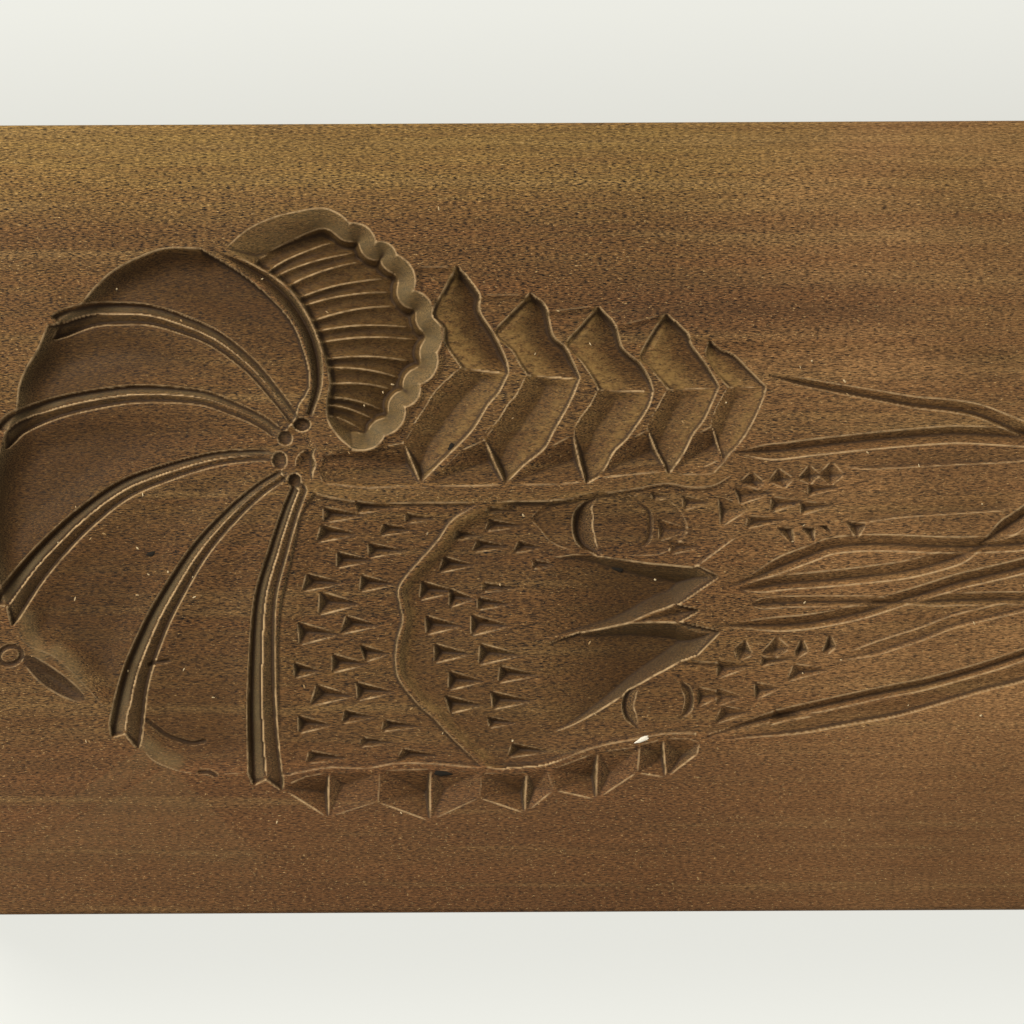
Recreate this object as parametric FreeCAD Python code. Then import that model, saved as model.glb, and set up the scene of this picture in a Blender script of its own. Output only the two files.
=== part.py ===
import FreeCAD, Part
import os
from FreeCAD import Vector

# A wooden sweet mold: one thick hardwood plank with a spiny lobster carved into its top face.
# Frame: origin on the underside at the plank's middle, +X along the grain towards the
# antenna tips, +Y towards the fan-shaped shell, +Z up out of the carving.
# The whole mold is a single piece of wood, so the model is a single solid.

# ---- the plank, in millimetres ----
board_length = 420.0
board_width = 210.0
board_thickness = 40.0
corner_radius = 1.5
edge_bevel = 0.8

# ---- where the carving lies ----
end_margin = 21.0          # bare wood beyond the tail, and beyond the antenna tips
side_margin = 23.5         # bare wood beside the shell, and beside the spines
drawn_length = 378.0       # the carving's own length and width, as its outlines are drawn below
drawn_width = 163.0

# ---- how deep each thing is cut ----
lobe_rim_depth = 7.5
lobe_hub_depth = 1.6
rib_groove_width = 3.6
rib_groove_depth = 3.2
dimple_radius = 1.8         # the little round hollows about the hub
bank_groove_width = 5.4
bank_groove_depth = 4.2
shell_rim_depth = 5.5
shell_wall_depth = 10.5
shell_bank_depth = 4.0
flute_width = 2.6
flute_depth = 1.2
flute_count = 13
flute_lift = 0.4           # less than the other cutters, for the flutes lie close together
segment_depth = 6.5
segment_shallow_depth = 1.6
gusset_depth = 2.6
tongue_depth = 2.4
carapace_depth = 1.4
cervical_ridge_width = 4.0
chip_depth = 1.9
chip_height = 4.6
chip_length = 10.5
chip_slant = 1.0           # how far the foot of its upright edge stands to the left of the top
chip_lowest = (1.2, -0.2)  # its lowest point, from the middle of that edge
eye_groove_width = 4.2
eye_groove_depth = 2.2
horn_depth = 6.5
spine_depth = 2.8
feeler_field_depth = 1.0
feeler_groove_width = 3.4
feeler_groove_depth = 2.6
lift = 0.5                 # how far each cutter stands above the surface that it cuts

# ---- the tail fan: each lobe's outline, from its rim round to the hub ----
lobe_outlines = [
    [(-131, 72), (-140.5, 72), (-148, 69.5), (-154.5, 66), (-160, 61), (-154, 60), (-145, 59.5),
     (-133, 57), (-122, 51), (-114, 46), (-106, 37), (-105, 46), (-110, 55), (-119, 64)],
    [(-170, 47), (-174.5, 44), (-177.5, 40.5), (-179.5, 35.5), (-180, 31), (-167, 36.5),
     (-154, 38.5), (-140.5, 39.5), (-129, 38.5), (-119, 35), (-112, 30), (-116, 34.5),
     (-126, 43), (-135, 47), (-143, 49), (-154, 49.5), (-165, 49)],
    [(-183, 20), (-186.5, 12.5), (-188, 2), (-186.5, -8.5), (-184, -13), (-177, -4.5),
     (-166, 5.5), (-154, 12.5), (-141, 18.5), (-128, 22), (-117, 22), (-123, 25.5),
     (-130, 28), (-141, 28.5), (-154, 28), (-165, 26)],
    [(-180, -27.5), (-177.5, -33), (-170.5, -36.5), (-163.5, -43), (-157, -50), (-155.5, -43),
     (-149.5, -27), (-142.5, -15.5), (-136, -6.5), (-127, 3), (-118, 9.5), (-128, 10.5),
     (-141, 6.5), (-151, 2), (-161, -5.5), (-168.5, -12.5), (-175.5, -22.5)],
    [(-144.5, -54), (-138, -66), (-132.5, -67.5), (-121.5, -67), (-122, -48.5), (-122, -38),
     (-120, -26), (-117, -16.5), (-114, -7.5), (-110, 3), (-114, 1), (-123.5, -7),
     (-130, -15), (-136.5, -27), (-141, -38)]]
lobe_rim_points = [(-160, 60), (-180, 33), (-187, 2), (-172, -36), (-138, -62)]
hub = (-107, 18)

# ---- the ribs between the lobes: the two grooves of each, from the rim to the hub ----
rib_grooves = [
    [(-167, 53), (-154, 57), (-146, 57), (-134, 54), (-123, 48), (-115.5, 42.5), (-106, 28)],
    [(-171, 50), (-166, 52.5), (-154, 52.5), (-142, 52), (-133.5, 49.5), (-124.5, 45.5), (-107.5, 27)],
    [(-181, 28), (-167, 34), (-154, 36), (-140.5, 37), (-129.5, 36), (-121, 33), (-109.5, 23.5)],
    [(-179, 25.5), (-165, 29), (-154, 31), (-140.5, 31.5), (-129.5, 31), (-123, 28.5), (-110, 21)],
    [(-184.5, -17), (-177, -8), (-166, 2), (-154, 9), (-140.5, 15), (-127.5, 18.5), (-111.5, 17.5)],
    [(-181.5, -26), (-177, -20), (-170, -10.5), (-162, -3), (-151.5, 5), (-140, 9.5), (-111.5, 15.5)],
    [(-155.5, -53.5), (-153, -43), (-146.5, -27), (-139.5, -15.5), (-133, -7.5), (-124, 1), (-110.5, 11)],
    [(-148, -59), (-144.5, -43), (-139.5, -26), (-133, -14), (-126, -5.5), (-116.5, 2.5), (-109, 10)],
    [(-117.5, -68), (-119, -48.5), (-119, -38), (-117, -26), (-114, -16.5), (-111, -7.5), (-106.5, 7)],
    [(-113.5, -69.5), (-113, -48), (-112.5, -38), (-111.5, -24), (-109, -11), (-106.5, 0.5), (-103, 7)]]
hub_dimples = [(-104.5, 25), (-109, 21.5), (-110.5, 15.5), (-106.5, 10)]

# ---- the fan-shaped shell and the groove that parts it from the tail ----
bank_groove = [(-129, 71.5), (-119, 65.5), (-112, 60.5), (-106.5, 54.5), (-102.5, 45), (-101, 36),
               (-102.5, 29)]
shell_outer = [(-122, 71.5), (-118.5, 77), (-112, 80), (-106, 81.5), (-99, 82), (-93, 79.5),
               (-87, 76.5), (-81, 72), (-75, 67), (-71, 60), (-68, 54), (-66.5, 48), (-68, 41),
               (-73, 33), (-77, 26.5), (-83, 21.5), (-88.5, 19), (-94.5, 22), (-97.5, 29),
               (-96, 36), (-98, 46), (-103, 56), (-112, 66)]
shell_inner = [(-110, 68), (-99, 74.5), (-90, 70.5), (-82.5, 64), (-76.5, 57), (-73, 50),
               (-72.5, 41), (-76, 34), (-80.5, 27.5), (-87.5, 23.5), (-94, 25.5), (-94, 36),
               (-96, 46), (-100, 56)]
shell_bank_line = [(-109, 67), (-103.5, 61), (-99.5, 54), (-96.5, 45), (-95, 36), (-94, 28)]
shell_wall_line = [(-99, 73.5), (-90, 69.5), (-82.5, 63), (-74, 50), (-76.5, 35), (-87, 24.5)]

# ---- the tongue, and the tail segments as an upper and a lower half ----
tongue_outline = [(-99.5, 16.5), (-95.5, 17.5), (-91, 18), (-78, 19.5), (-76, 18.5), (-75, 14),
                  (-73, 8), (-87, 7.5), (-97.5, 9), (-99.5, 12)]
upper_halves = [
    [(-63, 66.5), (-57.5, 59), (-56.5, 52.5), (-53, 48.5), (-49.5, 41.5), (-62, 40), (-66, 46), (-69, 54)],
    [(-43.5, 59), (-38.5, 54.5), (-37, 48.5), (-34, 45), (-31, 38.5), (-44.5, 38), (-47, 43.5), (-52, 49)],
    [(-25.5, 55.5), (-20.5, 51), (-18.5, 45), (-14.5, 41), (-11, 34.5), (-25.5, 34), (-28, 40),
     (-33.5, 46.5)],
    [(-7.5, 53.5), (-1.5, 49), (0.5, 43), (6, 35), (-7, 34.5), (-9.5, 38), (-13.5, 43.5), (-12, 49)],
    [(4, 46.5), (11, 42), (18.5, 35), (9.5, 35), (2.5, 42.5)]]
lower_halves = [
    [(-62, 39), (-49.5, 38), (-55, 30), (-59.5, 23), (-67.5, 15), (-72, 10.5), (-77, 20),
     (-73.5, 26.5), (-68.5, 34)],
    [(-44.5, 37), (-31, 36), (-37.5, 23), (-42, 17.5), (-50.5, 9.5), (-56, 21), (-49.5, 30)],
    [(-25.5, 33), (-11.5, 32), (-14.5, 25.5), (-21.5, 17.5), (-29, 10), (-32, 21), (-28, 29)],
    [(-7, 33.5), (6, 33.5), (2.5, 26), (-3, 17), (-7, 12), (-12, 23), (-9.5, 29)],
    [(9.5, 34), (18.5, 34), (15.5, 25.5), (11, 18.5), (8, 16), (5.5, 24)]]
gusset_outlines = [
    [(-62, 18), (-56.5, 20), (-51.5, 9), (-71, 9)],
    [(-39.5, 17.5), (-33.5, 19.5), (-30, 9.5), (-49, 9)],
    [(-18.5, 19), (-12.5, 21), (-9, 12.5), (-24, 11)],
    [(0.5, 21.5), (4, 23.5), (7, 15.5), (-5.5, 12.5)]]

# ---- the head shield, its cross ridge, and the chips that roughen it ----
shield_outline = [(-100, 6), (-87, 4.5), (-70, 4.5), (-53, 5), (-36, 5), (-25, 6.5), (-15, 8),
                  (-5, 8), (5, 6), (6, -12), (-4, -22), (6, -33), (2, -57), (-9, -57.5),
                  (-26.5, -60.5), (-40, -65), (-57, -65.5), (-71, -64.5), (-88, -65.5),
                  (-98, -65.5), (-109.5, -67), (-110, -38), (-107, -12)]
cervical_ridge = [(-54, 5.5), (-64, -0.5), (-72, -9.5), (-78, -19), (-78.5, -28), (-79.5, -38),
                  (-75, -48), (-67, -56), (-55.5, -66)]
chips_left = [(-99, 1), (-90.5, 3), (-77, 0.5), (-99, -4), (-83, -3), (-87, -8.5), (-95.5, -11),
              (-104, -17), (-89, -17), (-100, -23), (-93, -28), (-106, -30.5), (-90, -35.5),
              (-96.5, -38.5), (-107, -41), (-101.5, -47), (-90.5, -46), (-105.5, -55), (-93.5, -52.5),
              (-82.5, -55.5), (-89, -60.5), (-103, -63.5), (-79, -62.5)]
chips_right = [(-56, 1), (-55, -2.5), (-58, -7.5), (-47.5, -6.5), (-67, -12.5), (-73, -19.5),
               (-65.5, -21), (-57.5, -24.5), (-72, -28.5), (-60, -28.5), (-69.5, -36), (-57.5, -36.5),
               (-66, -43), (-52.5, -41.5), (-67, -50), (-54.5, -48.5), (-56, -54.5), (-49, -62)]
eye_grooves = [
    [(-25.5, 4.5), (-29.5, 1.5), (-31, -2.5), (-30, -6.5), (-26, -9.5)],
    [(-16, 4.5), (-12.5, 0.5), (-12, -4), (-14, -8)],
    [(-17, -46), (-18, -51), (-16.5, -56)],
    [(-3.5, -44), (-1.5, -48.5), (-3.5, -54)]]
horn_cuts = [
    ([(-42, -11.5), (-30.5, -9.5), (-21.5, -11), (-11, -12.5), (0.5, -13), (6, -16), (-5, -23),
      (-12, -25.5), (-17.5, -27), (-24.5, -29), (-38.5, -31)], (-3.5, -17.5)),
    ([(-17.5, -29.5), (-5, -29), (0.5, -30), (6.5, -31.5), (0.5, -37), (-3.5, -39), (-15, -45),
      (-21, -48.5), (-28.5, -52.5), (-36, -54), (-42.5, -46)], (-4.5, -33.5))]
antenna_chips = [(15, 7.5), (25.5, 4.5), (31, 7), (31.5, 1), (26, -41), (16.5, -45.5), (20, -53)]
spine_cuts = [
    ([(-110.5, -71.5), (-98, -79.5), (-97.5, -67.5), (-107, -69)], (-98.5, -72)),
    ([(-84.5, -75.5), (-71, -80.5), (-70.5, -66.5), (-84, -67.5)], (-71.5, -72)),
    ([(-57.5, -74.5), (-45.5, -78.5), (-45, -68), (-57, -68)], (-46, -72)),
    ([(-37.5, -72.5), (-26.5, -75), (-26, -62.5), (-38, -67)], (-27, -68)),
    ([(-15.5, -68), (-7.5, -69), (0, -60.5), (-7.5, -59.5), (-15, -61)], (-7.5, -63))]

# ---- the antennae and legs, swept back over the right half of the plank ----
feeler_field = [(14, 30), (22, 45), (60, 45), (88, 42.5), (120, 38), (150, 33), (172, 33), (186, 40),
                (189, 30), (184, 12), (170, -6), (148, -22), (118, -35), (88, -43.5), (64, -50.5),
                (40, -54.5), (10, -58), (12, -30), (8, -5)]
feeler_grooves = [
    [(22.5, 37), (35, 35), (58.5, 30.5), (76.5, 28.5), (88, 24), (101, 22)],
    [(12, 17), (31, 18.5), (64, 21), (85, 21.5), (101, 22)],
    [(39, 11.5), (64, 13), (88, 14), (112, 17), (134, 24)],
    [(10, -17), (19, -11.5), (32, -7.5), (55, -7), (76, -7), (88, 0.5), (108, 14), (130, 25), (152, 30)],
    [(12, -19.5), (22.5, -17), (51, -15), (68, -10.5), (78, -5.5), (100, -2), (128, 8), (156, 24)],
    [(14, -23), (39, -22.5), (55, -21.5), (76, -16), (96, -11), (124, -2), (150, 12), (168, 26)],
    [(6.5, -28.5), (30, -28), (50, -24), (72, -22), (98, -21), (128, -12), (154, 2), (174, 20)],
    [(40, -37), (64, -30), (88, -24), (116, -16), (140, -4)],
    [(4, -58), (22, -53.5), (56, -46), (88, -38), (120, -27), (148, -13), (170, 6), (184, 32)]]
antenna_taper = 0.25        # a groove's end is this share of its full width and depth

stretch_x = (board_length - 2 * end_margin) / drawn_length
stretch_y = (board_width - 2 * side_margin) / drawn_width


def at(place, depth=0.0):
    """A place on the carving's drawing, as a point that far below the top face."""
    return Vector(place[0] * stretch_x, place[1] * stretch_y, board_thickness - depth)


def solid_of(faces):
    return Part.Solid(Part.Shell(faces))


def polygon_face(points):
    return Part.Face(Part.makePolygon(points + points[:1]))


def sloped_pocket(outline, deep_at, deep, shallow_at, shallow):
    """A straight-walled pocket whose flat floor runs down from one place to another."""
    mouth = [at(place, -lift) for place in outline]
    pocket = polygon_face(mouth).extrude(Vector(0, 0, -board_thickness / 2))
    low = at(deep_at, deep)
    run = at(shallow_at, shallow) - low
    across = run.cross(Vector(0, 0, 1)).normalize()
    up = across.cross(run).normalize()
    along = up.cross(across)
    reach = board_length
    corners = [low + across * (i * reach) + along * (j * reach)
               for i, j in ((-1, -1), (1, -1), (1, 1), (-1, 1))]
    ground = polygon_face(corners).extrude(up * -board_thickness)
    return pocket.cut(ground)


def flat_pocket(outline, depth):
    mouth = [at(place, -lift) for place in outline]
    return polygon_face(mouth).extrude(Vector(0, 0, -(depth + lift)))


def faceted_cut(outline, lowest_at, depth, bed=0.0):
    """A hollow of flat facets that fall from the outline to one lowest point."""
    lowest = at(lowest_at, bed + depth)
    grow = (depth + lift) / depth
    rim = [lowest + (at(place, bed) - lowest) * grow for place in outline]
    faces = [polygon_face(rim)]
    for start, end in zip(rim, rim[1:] + rim[:1]):
        faces.append(polygon_face([start, end, lowest]))
    return solid_of(faces)


def v_groove(path, width, depth, beds=None, ends=(1.0, 1.0), above=lift):
    """A V-shaped groove along a path; beds are the depths of the surface that it is cut in."""
    beds = beds or [0.0] * len(path)
    points = [at(place, bed) for place, bed in zip(path, beds)]
    sections = []
    for i, point in enumerate(points):
        before = points[max(i - 1, 0)]
        after = points[min(i + 1, len(points) - 1)]
        side = Vector(before.y - after.y, after.x - before.x, 0).normalize()
        share = 1.0
        if i == 0:
            share = ends[0]
        if i == len(points) - 1:
            share = ends[1]
        half = share * width / 2 * (1 + above / (depth * share))
        top = Vector(0, 0, above)
        sections.append(Part.makePolygon([point + side * half + top, point - side * half + top,
                                          point - Vector(0, 0, depth * share),
                                          point + side * half + top]))
    return Part.makeLoft(sections, True, True)


def along_line(line, share):
    """The place at a share of the way along a drawn line."""
    spans = [((b[0] - a[0]) ** 2 + (b[1] - a[1]) ** 2) ** 0.5 for a, b in zip(line, line[1:])]
    left = share * sum(spans)
    for (a, b), span in zip(zip(line, line[1:]), spans):
        if left <= span:
            break
        left -= span
    part = min(left / span, 1.0)
    return (a[0] + (b[0] - a[0]) * part, a[1] + (b[1] - a[1]) * part)


def chip(place, bed, length=chip_length, height=chip_height):
    """One push of a corner chisel: a short upright edge on the left, a point on the right."""
    x, y = place
    outline = [(x, y + height / 2), (x - chip_slant, y - height / 2), (x + length, y)]
    return faceted_cut(outline, (x + chip_lowest[0], y + chip_lowest[1]), chip_depth, bed)


def cut_each(shape, cutters):
    for cutter in cutters:
        shape = shape.cut(cutter)
    return shape


def plank():
    block = Part.makeBox(board_length, board_width, board_thickness,
                         Vector(-board_length / 2, -board_width / 2, 0))
    upright = [edge for edge in block.Edges if abs(edge.tangentAt(edge.FirstParameter).z) > 0.5]
    block = block.makeFillet(corner_radius, upright)
    level = [edge for edge in block.Edges
             if edge.BoundBox.ZLength < 0.01]
    return block.makeChamfer(edge_bevel, level)


def tail_cutters():
    for outline, rim in zip(lobe_outlines, lobe_rim_points):
        yield sloped_pocket(outline, rim, lobe_rim_depth, hub, lobe_hub_depth)
    for path in rib_grooves:
        yield v_groove(path, rib_groove_width, rib_groove_depth, ends=(0.6, 0.6))
    for place in hub_dimples:
        yield Part.makeSphere(dimple_radius, at(place))


def shell_cutters():
    yield v_groove(bank_groove, bank_groove_width, bank_groove_depth, ends=(0.5, 0.6))
    wall_middle = (-70, 47)
    bank_middle = (-104, 56)
    yield sloped_pocket(shell_outer, wall_middle, shell_rim_depth, bank_middle, shell_bank_depth - 1)
    yield sloped_pocket(shell_inner, wall_middle, shell_wall_depth, bank_middle, shell_bank_depth)
    fall = shell_wall_depth - shell_bank_depth
    for i in range(flute_count):
        share = (i + 0.5) / flute_count
        start = along_line(shell_bank_line, share)
        end = along_line(shell_wall_line, share)
        beds = []
        for place in (start, end):
            run = ((place[0] - bank_middle[0]) * (wall_middle[0] - bank_middle[0])
                   + (place[1] - bank_middle[1]) * (wall_middle[1] - bank_middle[1]))
            length = ((wall_middle[0] - bank_middle[0]) ** 2 + (wall_middle[1] - bank_middle[1]) ** 2)
            beds.append(shell_bank_depth + fall * run / length)
        yield v_groove([start, end], flute_width, flute_depth, beds, ends=(0.4, 0.8), above=flute_lift)


def segment_cutters():
    yield flat_pocket(tongue_outline, tongue_depth)
    for outline in upper_halves:
        left = min(outline)
        right = max(outline)
        yield sloped_pocket(outline, right, segment_depth, left, segment_shallow_depth)
    for outline in lower_halves:
        left = min(outline)
        right = max(outline)
        yield sloped_pocket(outline, left, segment_depth, right, segment_shallow_depth)
    for outline in gusset_outlines:
        x = sum(place[0] for place in outline) / len(outline)
        y = sum(place[1] for place in outline) / len(outline)
        yield faceted_cut(outline, (x - 1, y), gusset_depth)


def shield_pocket():
    shield = flat_pocket(shield_outline, carapace_depth)
    sections = []
    points = [at(place, carapace_depth) for place in cervical_ridge]
    for i, point in enumerate(points):
        before = points[max(i - 1, 0)]
        after = points[min(i + 1, len(points) - 1)]
        side = Vector(before.y - after.y, after.x - before.x, 0).normalize()
        half = cervical_ridge_width / 2
        foot = Vector(0, 0, -lift)
        sections.append(Part.makePolygon([point + side * half + foot, point - side * half + foot,
                                          point + Vector(0, 0, carapace_depth),
                                          point + side * half + foot]))
    ridge = Part.makeLoft(sections, True, True)
    return shield.cut(ridge)


def head_cutters():
    yield shield_pocket()
    for place in chips_left + chips_right:
        yield chip(place, carapace_depth)
    for path in eye_grooves:
        yield v_groove(path, eye_groove_width, eye_groove_depth, [carapace_depth] * len(path),
                       ends=(0.4, 0.4))
    for outline, lowest_at in horn_cuts:
        yield faceted_cut(outline, lowest_at, horn_depth)
    for outline, lowest_at in spine_cuts:
        yield faceted_cut(outline, lowest_at, spine_depth)


def feeler_cutters():
    yield flat_pocket(feeler_field, feeler_field_depth)
    for path in feeler_grooves:
        yield v_groove(path, feeler_groove_width, feeler_groove_depth,
                       [feeler_field_depth] * len(path), ends=(antenna_taper * 2, antenna_taper))
    for place in antenna_chips:
        yield chip(place, feeler_field_depth)


os.makedirs("parts", exist_ok=True)
board = plank()
for cutters in (tail_cutters, shell_cutters, segment_cutters, head_cutters, feeler_cutters):
    board = cut_each(board, cutters())
board = board.removeSplitter()
print("solids", len(board.Solids), "valid", board.isValid(), "volume", round(board.Volume))
board.Solids[0].exportStep("parts/carved_board.step")
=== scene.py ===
import bpy
import math
import numpy as np
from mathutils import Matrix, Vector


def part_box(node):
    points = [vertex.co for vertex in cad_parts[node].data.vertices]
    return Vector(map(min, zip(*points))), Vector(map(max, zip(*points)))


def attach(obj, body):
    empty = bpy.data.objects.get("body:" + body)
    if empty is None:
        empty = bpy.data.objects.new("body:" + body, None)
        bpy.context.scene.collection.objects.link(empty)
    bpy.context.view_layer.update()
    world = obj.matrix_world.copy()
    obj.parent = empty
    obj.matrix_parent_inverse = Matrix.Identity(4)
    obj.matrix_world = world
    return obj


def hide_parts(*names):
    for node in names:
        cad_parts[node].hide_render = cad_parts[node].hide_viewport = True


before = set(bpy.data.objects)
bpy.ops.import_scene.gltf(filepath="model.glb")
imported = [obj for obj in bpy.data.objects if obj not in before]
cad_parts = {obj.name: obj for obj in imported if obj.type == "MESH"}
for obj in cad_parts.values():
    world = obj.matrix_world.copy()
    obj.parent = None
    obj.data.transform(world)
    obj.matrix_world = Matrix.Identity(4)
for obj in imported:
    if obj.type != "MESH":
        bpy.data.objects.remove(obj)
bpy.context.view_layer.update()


# ---------------------------------------------------------------------------------------------
# THE PLANK
# One thick plank of cherry, planed flat on its face, with the grain running the long way.
# The lobster is cut straight down into it, so all that follows is kept as one sheet of depths:
# how many millimetres of wood each cut has taken away below the planed face.
# ---------------------------------------------------------------------------------------------
plank_low, plank_high = [[v * 1000 for v in corner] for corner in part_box("carved_board")]
plank_length = plank_high[0] - plank_low[0]
plank_width = plank_high[1] - plank_low[1]
plank_top = plank_high[2]
worn_edge = 1.2
underside_bevel = 0.8
corner_radius = 1.6
cell = 0.29


def grid_lines(half_length, low, high):
    """Fine, even spacing over the carving, wide over the bare wood, close again at the worn edge."""
    fine = np.arange(low, high + cell / 2, cell)
    edge = half_length - np.array([1.0, 0.7, 0.45, 0.25, 0.1, 0.0]) * worn_edge
    before = np.linspace(worn_edge + 2 - half_length, fine[0] - 3, 5)
    after = np.linspace(fine[-1] + 3, half_length - worn_edge - 2, 5)
    return np.concatenate([-edge[::-1], before, fine, after, edge])


across_x = grid_lines(plank_length / 2, -191.5, 190.5)
across_y = grid_lines(plank_width / 2, -83.0, 84.5)
grid_x, grid_y = np.meshgrid(across_x, across_y)
depth = np.zeros(grid_x.shape)
rubbing_and_painted_light = np.zeros(grid_x.shape)
dust_and_painted_light = np.zeros(grid_x.shape)
painted_shade_and_dark_marks = np.zeros(grid_x.shape)


# ---------------------------------------------------------------------------------------------
# THE TAIL FAN
# Five lobes, each a dished hollow that drops steeply just inside its rim and then rises
# gently to the hub, and between them five ribs, each a pair of V cuts with a bead between.
# ---------------------------------------------------------------------------------------------
def bend(places, step=1.0, closed=False):
    """A line that bends evenly through given places."""
    p = np.array(places, float)
    if closed:
        p = np.vstack([p[-1], p, p[0], p[1]])
    else:
        p = np.vstack([2 * p[0] - p[1], p, 2 * p[-1] - p[-2]])
    line = []
    for a, b, c, d in zip(p[:-3], p[1:-2], p[2:-1], p[3:]):
        count = max(2, int(math.ceil(np.hypot(*(c - b)) / step)))
        t = np.linspace(0, 1, count, endpoint=False)[:, None]
        line.append(0.5 * (2 * b + (c - a) * t + (2 * a - 5 * b + 4 * c - d) * t ** 2
                           + (3 * b - a - 3 * c + d) * t ** 3))
    if not closed:
        line.append(p[-2:-1])
    return np.vstack(line)


def window(points, reach):
    """The part of the grid within reach of some points."""
    points = np.asarray(points)
    x0, y0 = points.min(0) - reach
    x1, y1 = points.max(0) + reach
    columns = slice(*np.searchsorted(across_x, [x0, x1]))
    rows = slice(*np.searchsorted(across_y, [y0, y1]))
    return rows, columns


def measure(line, reach, within=None):
    """Over a window: distance to a line, which side of it (+ is its left), and the share along it."""
    line = np.asarray(line, float)
    win = within or window(line, reach)
    x, y = grid_x[win], grid_y[win]
    near = np.full(x.shape, float(reach))
    side = np.ones(x.shape)
    along = np.zeros(x.shape)
    lengths = np.hypot(*np.diff(line, axis=0).T)
    runs = np.concatenate([[0], np.cumsum(lengths)])
    for i in range(len(line) - 1):
        if lengths[i] == 0:
            continue
        a, b = line[i], line[i + 1]
        rows, columns = window([a, b], reach)
        r0, c0 = win[0].start, win[1].start
        r = slice(max(rows.start - r0, 0), max(rows.stop - r0, 0))
        c = slice(max(columns.start - c0, 0), max(columns.stop - c0, 0))
        sx, sy = x[r, c], y[r, c]
        if sx.size == 0:
            continue
        dx, dy = (b - a) / lengths[i]
        t = np.clip((sx - a[0]) * dx + (sy - a[1]) * dy, 0, lengths[i])
        gx, gy = sx - a[0] - t * dx, sy - a[1] - t * dy
        gap = np.hypot(gx, gy)
        closer = gap < near[r, c]
        near[r, c] = np.where(closer, gap, near[r, c])
        side[r, c] = np.where(closer, np.where(dx * gy < dy * gx, -1, 1), side[r, c])
        along[r, c] = np.where(closer, (runs[i] + t) / runs[-1], along[r, c])
    return win, near, side, along


def inside(outline, win):
    """True where the grid lies inside an outline."""
    x, y = grid_x[win], grid_y[win]
    mask = np.zeros(x.shape, bool)
    for (x1, y1), (x2, y2) in zip(outline, np.roll(outline, -1, axis=0)):
        if y1 == y2:
            continue
        crosses = (y1 > y) != (y2 > y)
        mask ^= crosses & (x < (x2 - x1) * (y - y1) / (y2 - y1) + x1)
    return mask


def ease(value, start=0.0, end=1.0):
    """0 below start, 1 above end, and an even curve between them."""
    t = np.clip((value - start) / (end - start), 0, 1)
    return t * t * (3 - 2 * t)


def joined(*stretches):
    """One outline made of several stretches laid end to end."""
    return np.vstack([np.asarray(stretch, float) for stretch in stretches])


def cut_down(win, mask, level):
    """Take the wood inside a mask down to a level, where it isn't lower already."""
    depth[win] = np.where(mask, np.maximum(depth[win], level), depth[win])


def mark(sheet, win, share):
    """Raise a sheet's share of rubbing, dusting, dark marks and painted light and shade to at least this
    much.
    """
    sheet[win] = np.maximum(sheet[win], share)


lobe_rim_depth = 7.2
lobe_hub_depth = 1.4
rib_centres = [
    bend([(-169, 52), (-161, 54.5), (-154, 55), (-145, 54.5), (-136.5, 52),
          (-127.5, 48), (-118.5, 41), (-111.5, 33), (-106.5, 26.5)]),
    bend([(-183.5, 23), (-180, 26), (-171.5, 29.5), (-160.5, 32), (-147.5, 33.5), (-132, 32.5),
          (-123, 29.5), (-115.5, 26), (-110, 22)]),
    bend([(-183.5, -23.5), (-178, -15.5), (-171.5, -8), (-162.5, 0.5), (-152, 8), (-140.5, 12.5),
          (-127.5, 16), (-115.5, 17), (-111, 16.5)]),
    bend([(-152, -57.5), (-149.5, -43), (-145, -31), (-140.5, -22), (-132, -8.5), (-123, 1.5),
          (-115.5, 8), (-110, 11.5)]),
    bend([(-114.5, -69.5), (-115.5, -54), (-115.5, -38), (-114.5, -21.5), (-111, -8.5), (-108, 1),
          (-105.5, 7.5)])]
rib_widths = [(7.4, 3.0), (7.0, 3.0), (9.6, 2.8), (9.8, 3.2), (9.8, 4.4)]
rib_overrun = 3.5
hub = (-106.5, 18.0)
hub_depth = 1.1
dimple_depth = 1.2
lobe_rims = [
    bend([(-105.5, 30), (-102.5, 36), (-104.5, 46), (-109, 54.5), (-119, 64), (-131.5, 72)]),
    bend([(-172, 51.5), (-174.5, 45.5), (-177.5, 40.5), (-179.5, 35.5), (-180.5, 29), (-183.5, 23)]),
    bend([(-183.5, 23), (-186.5, 12.5), (-188, 2), (-187, -8.5), (-183.5, -23.5)]),
    bend([(-183.5, -23.5), (-181, -27.5), (-178, -33), (-170.5, -36.5), (-163.5, -43), (-157, -50.5),
          (-152, -57.5)]),
    bend([(-152, -57.5), (-148.2, -60), (-144.5, -64), (-139.2, -66.4), (-134.5, -67.5), (-127.5, -67.8),
          (-120, -67.8), (-114.5, -69.5)])]
outer_rim_of_first = bend([(-131.5, 72), (-140.5, 72), (-148, 69.5), (-154.5, 66), (-159, 62), (-163, 57.5),
                           (-168, 53.5)])
lobes = [
    (joined(lobe_rims[0], outer_rim_of_first), outer_rim_of_first, None, 0),
    (lobe_rims[1], lobe_rims[1], 0, 1),
    (lobe_rims[2], lobe_rims[2], 1, 2),
    (lobe_rims[3], lobe_rims[3], 2, 3),
    (lobe_rims[4], lobe_rims[4], 3, 4)]
lobe_sinks = [0.9, 1.0, 1.0, 0.6, 0.4]
rim_runs = [8.0, 9.0, 10.0, 9.0, 8.0]
rim_softness = [0.0, 0.0, 0.0, 0.8, 0.7]
lobe_forms = zip(lobe_sinks, rim_runs, rim_softness)
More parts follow.
